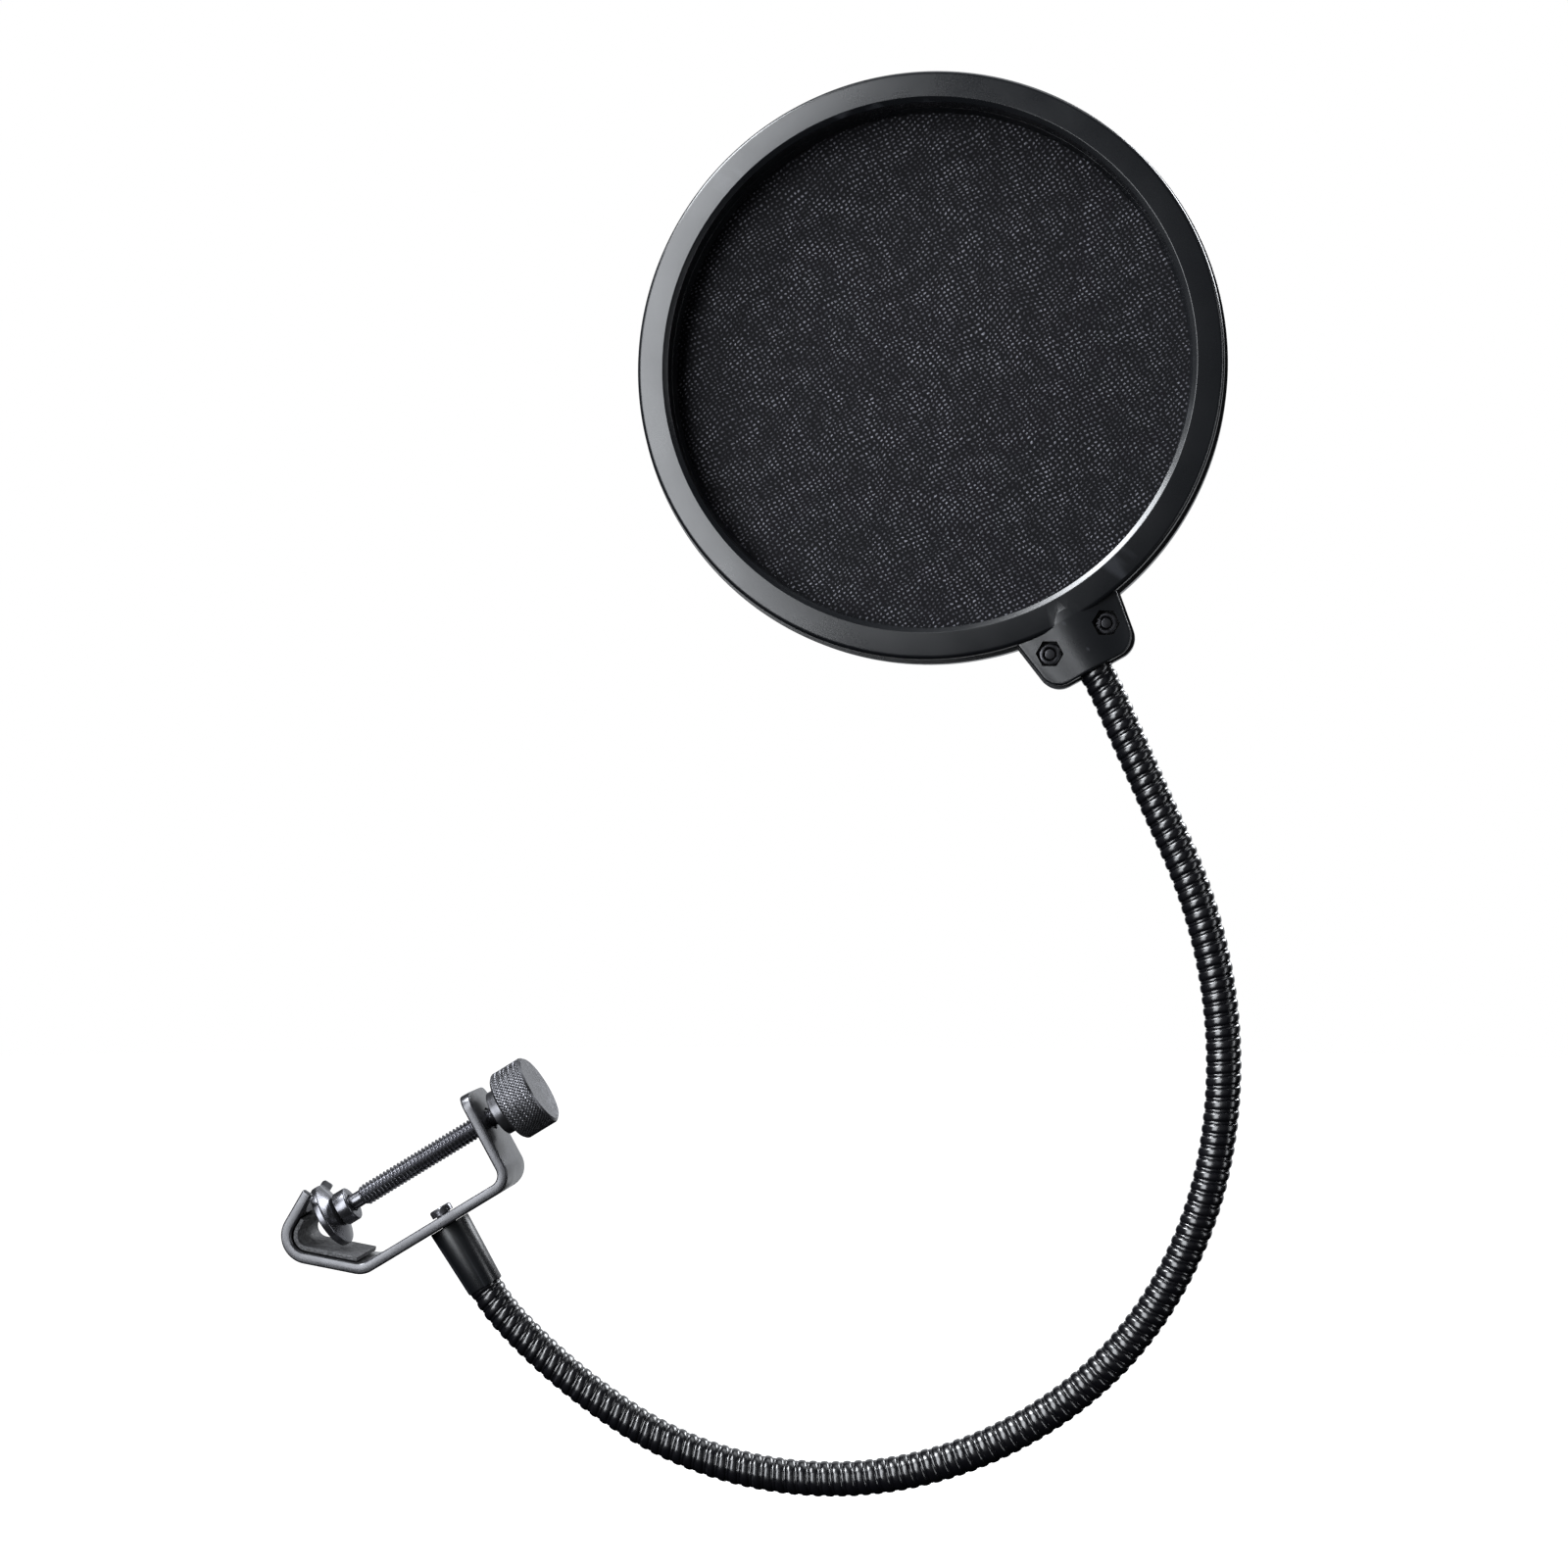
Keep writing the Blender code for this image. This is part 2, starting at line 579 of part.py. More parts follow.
def make_front_ring(hoop):
    top = RING_FRONT_Y
    profile = [(-GAP / 2, BORE_RADIUS), (top + BEVEL_DEPTH, BORE_RADIUS), (top, FACE_INNER_RADIUS)]
    profile += [(top, RING_FRONT_RADIUS - RING_ROUND)]
    rounding = arc((RING_FRONT_RADIUS - RING_ROUND, top + RING_ROUND), RING_ROUND, -math.pi / 2, 0.0, 3)
    profile += [(y, r) for r, y in rounding[1:]]
    profile += [(-GAP / 2, RING_FRONT_RADIUS)]
    shape = lathe("front_ring", profile, RING_SIDES, closed=True, axis="Y")
    ring = add_object("front_ring", shape, "black_plastic", hoop)

    block = prism("add_front_tail", tail_outline(TAIL_STEP), TAIL_FRONT_Y, -GAP / 2)
    cut(ring, add_object("add_front_tail", block, None, hoop), "UNION")
    cut(ring, make_bulge(hoop), "UNION")
    cut(ring, tail_bores(hoop, "front"))
    for side, v in (("a", NUT_V), ("b", -NUT_V)):
        pocket = prism(f"cut_pocket_{side}", hex_points(POCKET_FLATS, (NUT_U, v)), TAIL_FRONT_Y - 0.003,
                       POCKET_FLOOR_Y)
        cut(ring, add_object(f"cut_pocket_{side}", pocket, None, hoop))
        hole = TAIL_SCREW_RADIUS + GAP
        cut(ring, drill(hoop, f"cut_front_hole_{side}", v, hole, -0.003, 0.002))


def make_bulge(hoop):
    """Half a cone over the neck, fading into the hoop's face."""
    loops = []
    for u, radius in ((0.0745, BULGE_END_RADIUS), (TAIL_REACH - TAIL_STEP / 2, BULGE_RADIUS)):
        edge = math.asin(GAP / 2 / radius)
        points = arc((0.0, 0.0), radius, edge, math.pi - edge, 10)
        loops.append([Vector((u, -depth, v)) for v, depth in points])
    return add_object("add_bulge", mesh_from_loops("add_bulge", loops), None, hoop)


def make_back_ring(hoop):
    back = RING_BACK_Y
    rounding = arc((RING_BACK_RADIUS - RING_ROUND, back - RING_ROUND), RING_ROUND, 0.0, math.pi / 2, 3)
    profile = [(GAP / 2, BORE_RADIUS), (GAP / 2, RING_BACK_RADIUS)]
    profile += [(y, r) for r, y in rounding]
    profile += [(back, HOUSING_RADIUS), (LEDGE_Y, HOUSING_RADIUS), (LEDGE_Y, WINDOW_RADIUS)]
    shape = lathe("back_ring", profile, RING_SIDES, closed=True, axis="Y")
    ring = add_object("back_ring", shape, "black_plastic", hoop)

    outline = [(u if i not in (0, len(tail_outline(0.0)) - 1) else HOUSING_RADIUS + 0.0015, v)
               for i, (u, v) in enumerate(tail_outline(0.0))]
    block = prism("add_back_tail", outline, GAP / 2, TAIL_BACK_Y)
    cut(ring, add_object("add_back_tail", block, None, hoop), "UNION")
    cut(ring, tail_bores(hoop, "back"))
    for side, v in (("a", NUT_V), ("b", -NUT_V)):
        hole = TAIL_SCREW_RADIUS + GAP
        cut(ring, drill(hoop, f"cut_back_hole_{side}", v, hole, -0.002, TAIL_BACK_Y + 0.002))
        seat = TAIL_BACK_Y - TAIL_HEAD_HEIGHT - 2.0 * GAP
        head = TAIL_HEAD_RADIUS + GAP
        cut(ring, drill(hoop, f"cut_head_{side}", v, head, seat, TAIL_BACK_Y + 0.003))


def make_screens(hoop):
    """Two stretched screens, the spacer between them and the hoop that shuts them in."""
    disc = HOUSING_RADIUS - GAP
    y = LEDGE_Y + GAP
    for name in ("front_screen", "back_screen"):
        profile = [(y, 0.0), (y, disc), (y + MESH_THICKNESS, disc), (y + MESH_THICKNESS, 0.0)]
        shape = lathe(name, profile, RING_SIDES, axis="Y")
        add_object(name, shape, "screen_nylon", hoop)
        y += MESH_THICKNESS + GAP
        low = y
        high = y + SPACER_HEIGHT if name == "front_screen" else RING_BACK_Y - GAP
        ring = [(low, WINDOW_RADIUS), (low, disc), (high, disc), (high, WINDOW_RADIUS)]
        label = "spacer_hoop" if name == "front_screen" else "retaining_hoop"
        add_object(label, lathe(label, ring, RING_SIDES, closed=True, axis="Y"), "black_plastic", hoop)
        y = high + GAP


def make_ferrule(hoop):
    """A crimped sleeve's end piece with a flange, which keeps the neck from pulling out."""
    top = TAIL_REACH - NECK_IN_TAIL - GAP
    low = top - FERRULE_LENGTH
    profile = [(low, 0.0), (low, FERRULE_FLANGE_RADIUS), (low + FERRULE_FLANGE, FERRULE_FLANGE_RADIUS)]
    profile += [(low + FERRULE_FLANGE, FERRULE_RADIUS), (top, FERRULE_RADIUS), (top, 0.0)]
    add_object("neck_ferrule", lathe("neck_ferrule", profile, ROUND_SIDES), "plain_steel", hoop)


def make_tail_fixings(hoop):
    """Two screws from the back, each in a hexagon nut let into the front."""
    for side, v in (("left", -NUT_V), ("right", NUT_V)):
        low = POCKET_FLOOR_Y - GAP - NUT_HEIGHT
        nut = add_object(
            f"tail_nut_{side}",
            prism(f"tail_nut_{side}", hex_points(NUT_FLATS, (0.0, 0.0)), low, low + NUT_HEIGHT),
            "dark_steel", hoop, (NUT_U, 0, v))
        hole = drill(hoop, f"cut_nut_{side}", v, TAIL_SCREW_RADIUS + GAP, low - 0.002, 0.001)
        cut(nut, hole)
        head = TAIL_BACK_Y - TAIL_HEAD_HEIGHT - GAP
        tip = low + GAP
        profile = [(tip, 0.0), (tip, TAIL_SCREW_RADIUS), (head, TAIL_SCREW_RADIUS), (head, TAIL_HEAD_RADIUS)]
        top = head + TAIL_HEAD_HEIGHT
        profile += [(top - 0.0004, TAIL_HEAD_RADIUS), (top, TAIL_HEAD_RADIUS - 0.0005), (top, 0.0)]
        shape = lathe(f"tail_screw_{side}", profile, ROUND_SIDES, axis="Y")
        screw = add_object(f"tail_screw_{side}", shape, "dark_steel", hoop, (NUT_U, 0, v))
        half = 0.0004
        deep = top - 0.0009
        for name, size in ((f"cut_cross_u_{side}", (0.0016, half)), (f"cut_cross_v_{side}", (half, 0.0016))):
            corners = [(-size[0], -size[1]), (size[0], -size[1]), (size[0], size[1]), (-size[0], size[1])]
            cut(screw, add_object(name, prism(name, corners, deep, top + 0.001), None, hoop, (NUT_U, 0, v)))


def main():
    clear_scene()
    seat = seat_point()
    across = Matrix.Rotation(-CLAMP_TILT, 3, "Y") @ Vector((seat.x, 0.0, seat.y))
    clamp = add_empty("clamp_axes", -across, CLAMP_TILT)
    make_strap(clamp)
    make_pad(clamp)
    make_foot(clamp)
    make_spindle(clamp)
    make_knob(clamp)

    drop = BASE_DROP + STRAP_THICKNESS + GAP
    collar = add_empty("collar_axes", (COLLAR_S, 0, -drop), math.radians(-90.0), clamp)
    make_collar(collar)
    tail_mouth = make_neck(collar, "tail_mouth")
    hoop = add_empty("hoop_axes", (TAIL_REACH - NECK_IN_TAIL, 0, 0), math.pi, tail_mouth)
    make_front_ring(hoop)
    make_back_ring(hoop)
    make_screens(hoop)
    make_ferrule(hoop)
    make_tail_fixings(hoop)
    bpy.context.view_layer.update()


main()
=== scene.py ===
import json
import math
import bmesh
import bpy
import numpy as np
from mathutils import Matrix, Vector


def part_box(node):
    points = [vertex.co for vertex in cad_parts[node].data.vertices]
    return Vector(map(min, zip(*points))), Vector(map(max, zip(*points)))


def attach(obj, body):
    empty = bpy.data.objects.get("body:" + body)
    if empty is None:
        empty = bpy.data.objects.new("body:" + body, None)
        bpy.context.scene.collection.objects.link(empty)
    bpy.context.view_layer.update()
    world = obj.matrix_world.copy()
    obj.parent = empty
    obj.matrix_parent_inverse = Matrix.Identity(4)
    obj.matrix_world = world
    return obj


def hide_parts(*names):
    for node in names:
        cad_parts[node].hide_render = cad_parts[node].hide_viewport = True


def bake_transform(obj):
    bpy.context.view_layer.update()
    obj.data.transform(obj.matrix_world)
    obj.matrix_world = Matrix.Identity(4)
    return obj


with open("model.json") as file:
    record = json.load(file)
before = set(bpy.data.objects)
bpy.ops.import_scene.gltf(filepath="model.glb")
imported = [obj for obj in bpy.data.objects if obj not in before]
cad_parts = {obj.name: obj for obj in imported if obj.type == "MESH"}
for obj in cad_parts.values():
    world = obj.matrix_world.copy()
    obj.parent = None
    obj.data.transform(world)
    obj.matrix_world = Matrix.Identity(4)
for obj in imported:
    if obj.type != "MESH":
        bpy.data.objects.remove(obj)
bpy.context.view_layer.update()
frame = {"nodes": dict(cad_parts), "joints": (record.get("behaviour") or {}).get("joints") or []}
joints = {joint["name"]: joint for joint in frame["joints"]}
print("frame loaded,", len(frame["nodes"]), "nodes")

mm = 0.001


# axes are (origin, along, up): along lies in the XZ plane, up is along turned a quarter turn from +X to +Z
def axesAt(origin, along):
    along = np.array(along, float) / np.linalg.norm(along)
    return np.array(origin, float), along, np.array((-along[2], 0.0, along[0]))


# local (along, depth, up) to the row's frame
def place(points, axes):
    origin, along, up = axes
    across = np.array((0.0, 1.0, 0.0))
    return origin + points[..., :1] * along + points[..., 1:2] * across + points[..., 2:] * up


clampAxes = axesAt(joints["screw_turn"]["pos_m"], joints["screw_turn"]["axis"])
collarAxes = axesAt(joints["neck_swivel"]["pos_m"], joints["neck_swivel"]["axis"])


# a grid of points becomes quads: row i joins row i + 1, and the last column joins the first when round
def gridMesh(name, points, round=True, ring=False):
    rows, columns = points.shape[:2]
    i = np.arange(rows if ring else rows - 1)[:, None]
    j = np.arange(columns if round else columns - 1)[None, :]
    nextRow, nextColumn = (i + 1) % rows, (j + 1) % columns
    corners = [
        i * columns + j,
        i * columns + nextColumn,
        nextRow * columns + nextColumn,
        nextRow * columns + j,
    ]
    quads = np.stack(corners, -1).reshape(-1, 4)
    mesh = bpy.data.meshes.new(name)
    mesh.vertices.add(rows * columns)
    mesh.vertices.foreach_set("co", points.reshape(-1).astype(np.float32))
    mesh.loops.add(quads.size)
    mesh.loops.foreach_set("vertex_index", quads.reshape(-1).astype(np.int32))
    mesh.polygons.add(len(quads))
    mesh.polygons.foreach_set("loop_start", np.arange(0, quads.size, 4, dtype=np.int32))
    mesh.update(calc_edges=True)
    return mesh


# points that meet are joined, which closes poles and seams, and the faces are turned outwards
def weld(mesh, distance=2e-6, sliver=1e-8):
    bm = bmesh.new()
    bm.from_mesh(mesh)
    bmesh.ops.remove_doubles(bm, verts=bm.verts, dist=distance)
    bmesh.ops.dissolve_degenerate(bm, dist=sliver, edges=bm.edges)
    bmesh.ops.recalc_face_normals(bm, faces=bm.faces)
    bm.to_mesh(mesh)
    bm.free()
    return mesh


def newPiece(name, mesh, body, material=None, sharp=35, replaces=()):
    piece = bpy.data.objects.new(name, mesh)
    bpy.context.scene.collection.objects.link(piece)
    mesh.polygons.foreach_set("use_smooth", np.ones(len(mesh.polygons), bool))
    mesh.set_sharp_from_angle(angle=math.radians(sharp))
    if material:
        mesh.materials.append(material)
    if body:
        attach(piece, body)
    if replaces:
        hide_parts(*replaces)
    return piece


# corners (x, y, radius) of a line become arcs: each runs between its two tangent points about the
# centre that lies on the corner's bisector
def roundedLine(corners, steps=6, closed=True):
    corners = np.array(corners, float)
    almost, tiny = 1e-4, 1e-9
    points, radii = corners[:, :2], corners[:, 2]
    before, after = np.roll(points, 1, 0), np.roll(points, -1, 0)
    if not closed:
        before[0], after[-1] = 2 * points[0] - points[1], 2 * points[-1] - points[-2]
        radii = np.where(np.arange(len(radii)) % (len(radii) - 1) == 0, 0, radii)
    back = (before - points) / np.linalg.norm(before - points, axis=1)[:, None]
    on = (after - points) / np.linalg.norm(after - points, axis=1)[:, None]
    half = np.arccos(np.clip((back * on).sum(1), -1, 1)) / 2
    straight = half > math.pi / 2 - almost
    reach = np.where(straight, 0, radii / np.tan(half))
    bisector = back + on
    bisector /= np.maximum(np.linalg.norm(bisector, axis=1), tiny)[:, None]
    centre = points + bisector * np.where(straight, 0, radii / np.sin(half))[:, None]
    first, last = points + back * reach[:, None] - centre, points + on * reach[:, None] - centre
    turn = np.maximum(math.pi - 2 * half, tiny)[:, None]
    share = np.linspace(0, 1, steps + 1)
    a = (np.sin((1 - share) * turn) / np.sin(turn))[..., None]
    b = (np.sin(share * turn) / np.sin(turn))[..., None]
    return (centre[:, None] + a * first[:, None] + b * last[:, None]).reshape(-1, 2)


# (along, radius) points turned about the along axis, as local points
def turnedLocal(profile, sides):
    profile = np.array(profile, float)
    angle = np.linspace(0, 2 * math.pi, sides, endpoint=False)
    along = np.repeat(profile[:, :1], sides, 1)
    return np.stack([along, profile[:, 1:] * np.cos(angle), profile[:, 1:] * np.sin(angle)], -1)


def turned(profile, sides, axes):
    return place(turnedLocal(profile, sides), axes)


def turnedPiece(name, corners, sides, axes, body, material, replaces=(), steps=5, closed=True):
    profile = roundedLine(corners, steps, closed)
    mesh = weld(gridMesh(name, turned(profile, sides, axes), ring=closed))
    return newPiece(name, mesh, body, material, replaces=replaces)


# a closed outline in two of the local directions, carried straight along the third
def block(name, outline, low, high, axes, way="depth"):
    outline = np.array(outline, float)
    levels = np.array([low, low, high, high])[:, None]
    keep = np.array([0, 1, 1, 0])[:, None, None]
    centre = outline.mean(0)
    flat = centre + (outline - centre) * keep
    level = np.repeat(levels, len(outline), 1)
    order = {"depth": (flat[..., 0], level, flat[..., 1]), "up": (flat[..., 0], flat[..., 1], level)}
    return weld(gridMesh(name, place(np.stack(order[way], -1), axes)))


def rectangle(lowU, highU, lowV, highV):
    return [(lowU, lowV), (highU, lowV), (highU, highV), (lowU, highV)]


# a cylinder to cut with, between two levels along the axis
def drill(name, low, high, radius, axes):
    return weld(gridMesh(name, turned([(low, 0), (low, radius), (high, radius), (high, 0)], 48, axes)))


# joins and cuts are worked out once, and the tools are taken away
def carve(piece, steps):
    for kind, mesh in steps:
        tool = bpy.data.objects.new("tool", mesh)
        bpy.context.scene.collection.objects.link(tool)
        cut = piece.modifiers.new("cut", "BOOLEAN")
        cut.operation, cut.solver, cut.object = kind, "EXACT", tool
        bpy.context.view_layer.update()
        done = bpy.data.meshes.new_from_object(piece.evaluated_get(bpy.context.evaluated_depsgraph_get()))
        piece.modifiers.clear()
        done.name = piece.data.name
        piece.data = done
        bpy.data.objects.remove(tool)
    return piece


# a cut piece is shaded again before it takes its body, and the CAD nodes it replaces are hidden
def finishCarved(piece, body, nodes, sharp=35):
    piece.data.polygons.foreach_set("use_smooth", np.ones(len(piece.data.polygons), bool))
    piece.data.set_sharp_from_angle(angle=math.radians(sharp))
    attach(piece, body)
    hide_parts(*nodes)


# a CAD solid that shows as it is takes one finish
def finishNode(node, material):
    frame["nodes"][node].data.materials.clear()
    frame["nodes"][node].data.materials.append(material)


class Finish:
    def __init__(self, name, colour, roughness, metallic=0.0, **sockets):
        self.material = bpy.data.materials.new(name)
        self.material.use_nodes = True
        self.material.diffuse_color = (*colour, 1)
        self.nodes = self.material.node_tree.nodes
        self.links = self.material.node_tree.links
        self.shader = self.nodes["Principled BSDF"]
        self.shader.inputs["Base Color"].default_value = (*colour, 1)
        self.shader.inputs["Roughness"].default_value = roughness
        self.shader.inputs["Metallic"].default_value = metallic
        for socket, value in sockets.items():
            self.shader.inputs[socket.replace("_", " ")].default_value = value
        self.height = None
        self.coords = self.node("ShaderNodeTexCoord").outputs["Object"]

    def node(self, kind, **values):
        made = self.nodes.new(kind)
        for key, value in values.items():
            if key in made.inputs:
                if isinstance(value, bpy.types.NodeSocket):
                    self.links.new(value, made.inputs[key])
                else:
                    made.inputs[key].default_value = value
            else:
                setattr(made, key, value)
        return made

    def noise(self, size, detail=2.0, roughness=0.5):
        made = self.node("ShaderNodeTexNoise", Scale=1 / size, Detail=detail, Roughness=roughness)
        self.links.new(self.coords, made.inputs["Vector"])
        return made.outputs["Fac"]

    def math(self, operation, a, b=0.0):
        made = self.nodes.new("ShaderNodeMath")
        made.operation = operation
        for socket, value in zip(made.inputs, (a, b)):
            if isinstance(value, bpy.types.NodeSocket):
                self.links.new(value, socket)
            else:
                socket.default_value = value
        return made.outputs[0]

    def span(self, value, low, high, toLow=0.0, toHigh=1.0, smooth=False):
        made = self.node("ShaderNodeMapRange", interpolation_type="SMOOTHSTEP" if smooth else "LINEAR")
        self.links.new(value, made.inputs["Value"])
        made.inputs["From Min"].default_value, made.inputs["From Max"].default_value = low, high
        made.inputs["To Min"].default_value, made.inputs["To Max"].default_value = toLow, toHigh
        return made.outputs["Result"]

    def mix(self, share, first, second):
        made = self.nodes.new("ShaderNodeMix")
        made.data_type = "RGBA"
        for socket, value in ((made.inputs[0], share), (made.inputs[6], first), (made.inputs[7], second)):
            if isinstance(value, bpy.types.NodeSocket):
                self.links.new(value, socket)
            else:
                socket.default_value = value if isinstance(value, float) else (*value, 1)
        return made.outputs[2]

    def paint(self, colour):
        self.links.new(colour, self.shader.inputs["Base Color"])

    def gloss(self, value):
        self.links.new(value, self.shader.inputs["Roughness"])

    def relief(self, height, depth, strength=1.0):
        made = self.node("ShaderNodeBump", Strength=strength, Distance=depth)
        self.links.new(height, made.inputs["Height"])
        if self.height:
            self.links.new(self.height, made.inputs["Normal"])
        self.height = made.outputs["Normal"]
        self.links.new(self.height, self.shader.inputs["Normal"])

    # the share of a convex edge that is rubbed, patchy with a broad noise
    def edges(self, low=0.52, high=0.6, size=7 * mm):
        sharp = self.span(self.node("ShaderNodeNewGeometry").outputs["Pointiness"], low, high)
        return self.math("MULTIPLY", sharp, self.span(self.noise(size), 0.25, 0.6))


# moulded black plastic: a fine spark grain, slow changes of gloss and slightly polished edges
plasticLook = dict(
    colour=(0.008, 0.0085, 0.0095), dark=(0.004, 0.0045, 0.0055), rubbed=(0.018, 0.019, 0.022),
    roughness=0.3, ior=1.52, slow=22 * mm, fine=0.5 * mm, fineShare=0.3, gloss=(0.24, 0.34),
    grain=0.35 * mm, grainDepth=0.02 * mm)


def hoopPlastic():
    look = plasticLook
    finish = Finish("hoopPlastic", look["colour"], look["roughness"], IOR=look["ior"])
    slow = finish.noise(look["slow"], 3)
    fine = finish.math("MULTIPLY", finish.noise(look["fine"]), look["fineShare"])
    finish.gloss(finish.span(finish.math("ADD", slow, fine), 0.4, 0.9, *look["gloss"]))
    finish.paint(finish.mix(finish.edges(), look["dark"], look["rubbed"]))
    finish.relief(finish.noise(look["grain"], 3), look["grainDepth"], 0.35)
    return finish.material


# knitted nylon net: wavy rows of loops on a slant, with a painted highlight in patches and flecks where a
# loop catches the light
# thread is the colour of the painted highlight on the loops; between is the net's own dark colour
netLook = dict(
    colour=(0.01, 0.01, 0.012), between=(0.0035, 0.0035, 0.0045), thread=(0.2, 0.2, 0.225),
    roughness=0.7, specular=0.08, rowPitch=1.12 * mm, loopPitch=1.3 * mm,
    drift=5 * mm, driftSize=15 * mm, wander=2.2 * mm, wanderSize=2.4 * mm,
    patchSize=5 * mm, sparkSize=0.5 * mm, loopDepth=0.08 * mm, fuzzSize=0.25 * mm, fuzzDepth=0.03 * mm)


def netNylon(name, slant, offset):
    look = netLook
    finish = Finish(name, look["colour"], look["roughness"], Specular_IOR_Level=look["specular"])
    turnedCoords = finish.node("ShaderNodeMapping")
    finish.links.new(finish.coords, turnedCoords.inputs["Vector"])
    turnedCoords.inputs["Rotation"].default_value = (0, slant, 0)
    turnedCoords.inputs["Location"].default_value = offset
    split = finish.node("ShaderNodeSeparateXYZ", Vector=turnedCoords.outputs["Vector"])
    sway = finish.math("SUBTRACT", finish.noise(look["driftSize"], 2), 0.5)
    rowAt = finish.math("ADD", split.outputs["Z"], finish.math("MULTIPLY", sway, look["drift"]))
    wander = finish.math("MULTIPLY", finish.noise(look["wanderSize"], 2), look["wander"])
    loopAt = finish.math("ADD", split.outputs["X"], wander)
    row = finish.math("SINE", finish.math("MULTIPLY", rowAt, 2 * math.pi / look["rowPitch"]))
    loop = finish.math("SINE", finish.math("MULTIPLY", loopAt, 2 * math.pi / look["loopPitch"]))
    rowThread = finish.span(row, -0.1, 1.0, smooth=True)
    loopThread = finish.span(loop, -0.4, 0.9, smooth=True)
    thread = finish.math("MULTIPLY", rowThread, loopThread)
    # patch and spark break the painted highlight into patches and small flecks
    patch = finish.span(finish.noise(look["patchSize"], 4, 0.75), 0.38, 0.72, 0.18, 1.0, True)
    spark = finish.span(finish.noise(look["sparkSize"], 1), 0.3, 0.7, 0.3, 1.3)
    paintedGlint = finish.math("MULTIPLY", thread, finish.math("MULTIPLY", patch, spark))
    # painted highlight: the pale thread colour stands where a loop catches the light, the dark between colour
    # elsewhere
    finish.paint(finish.mix(paintedGlint, look["between"], look["thread"]))
    finish.relief(thread, look["loopDepth"], 0.6)
    finish.relief(finish.noise(look["fuzzSize"], 2), look["fuzzDepth"], 0.4)
    return finish.material


# black lacquer on the wound neck: gloss that changes in small patches, and slightly paler edges
lacquerLook = dict(
    colour=(0.006, 0.006, 0.007), dark=(0.003, 0.003, 0.004), rubbed=(0.012, 0.012, 0.014),
    roughness=0.24, ior=1.55, coat=0.25, coatRoughness=0.2, patch=2.2 * mm, gloss=(0.2, 0.32),
    ripple=1.4 * mm, rippleDepth=0.02 * mm)


def neckLacquer():
    look = lacquerLook
    finish = Finish("neckLacquer", look["colour"], look["roughness"], IOR=look["ior"],
                    Coat_Weight=look["coat"], Coat_Roughness=look["coatRoughness"])
    finish.gloss(finish.span(finish.noise(look["patch"], 4, 0.6), 0.35, 0.7, *look["gloss"]))
    finish.paint(finish.mix(finish.edges(0.53), look["dark"], look["rubbed"]))
    finish.relief(finish.noise(look["ripple"], 2), look["rippleDepth"], 0.08)
    return finish.material


# black nickel plate: dark metal, hazy in patches, rubbed bright on its edges
nickelLook = dict(metallic=0.9, haze=2.6 * mm, glossier=0.04, duller=0.1, bright=2.6, ripple=0.9 * mm,
                  rippleDepth=0.01 * mm)


def blackNickel(name="blackNickel", colour=(0.11, 0.11, 0.12), roughness=0.24):
    look = nickelLook
    finish = Finish(name, colour, roughness, look["metallic"])
    haze = finish.noise(look["haze"], 3, 0.6)
    finish.gloss(finish.span(haze, 0.35, 0.7, roughness - look["glossier"], roughness + look["duller"]))
    bright = tuple(look["bright"] * value for value in colour)
    finish.paint(finish.mix(finish.edges(), colour, bright))
    finish.relief(finish.noise(look["ripple"], 2), look["rippleDepth"], 0.1)
    return finish.material


# satin black paint on the strap, with fine orange peel and a little steel showing at its edges
paintLook = dict(
    colour=(0.045, 0.045, 0.049), steel=(0.2, 0.2, 0.21), roughness=0.3, metallic=0.7,
    coat=0.4, coatRoughness=0.2, patch=7 * mm, gloss=(0.22, 0.38), peel=0.9 * mm, peelDepth=0.02 * mm)


def strapPaint():
    look = paintLook
    finish = Finish("strapPaint", look["colour"], look["roughness"], look["metallic"],
                    Coat_Weight=look["coat"], Coat_Roughness=look["coatRoughness"])
    finish.gloss(finish.span(finish.noise(look["patch"], 4), 0.35, 0.7, *look["gloss"]))
    finish.paint(finish.mix(finish.edges(0.53), look["colour"], look["steel"]))
    finish.relief(finish.noise(look["peel"], 2), look["peelDepth"], 0.3)
    return finish.material


# rubber sheet with a leather-like grain of small cells, with painted shade that darkens the creases
# the crease colour is painted shade for the creases between the cells
rubberLook = dict(
    colour=(0.035, 0.035, 0.038), paintedCreaseShade=(0.014, 0.014, 0.015), raised=(0.05, 0.05, 0.054), roughness=0.6,
    cell=0.8 * mm, cellDepth=0.06 * mm, patch=1.5 * mm, gloss=(0.45, 0.7), dust=0.2 * mm, dustDepth=0.03 * mm)


def linerRubber():
    look = rubberLook
    finish = Finish("linerRubber", look["colour"], look["roughness"])
    cells = finish.node("ShaderNodeTexVoronoi", feature="DISTANCE_TO_EDGE", Scale=1 / look["cell"],
                        Vector=finish.coords)
    raised = finish.span(cells.outputs["Distance"], 0.0, 0.25, smooth=True)
    # painted shade: the creases between the cells take the darker colour, the raised cells the paler one
    finish.paint(finish.mix(raised, look["paintedCreaseShade"], look["raised"]))
    finish.gloss(finish.span(finish.noise(look["patch"], 3), 0.35, 0.65, *look["gloss"]))
    finish.relief(raised, look["cellDepth"], 0.7)
    finish.relief(finish.noise(look["dust"], 2), look["dustDepth"], 0.5)
    return finish.material


steelLook = dict(colour=(0.5, 0.5, 0.5), roughness=0.3, patch=0.8 * mm, gloss=(0.22, 0.45), grain=0.3 * mm,
                 grainDepth=0.01 * mm)


def plainSteel():
    look = steelLook
    finish = Finish("plainSteel", look["colour"], look["roughness"], 1.0)
    finish.gloss(finish.span(finish.noise(look["patch"], 3), 0.35, 0.7, *look["gloss"]))
    finish.relief(finish.noise(look["grain"], 2), look["grainDepth"], 0.4)
    return finish.material


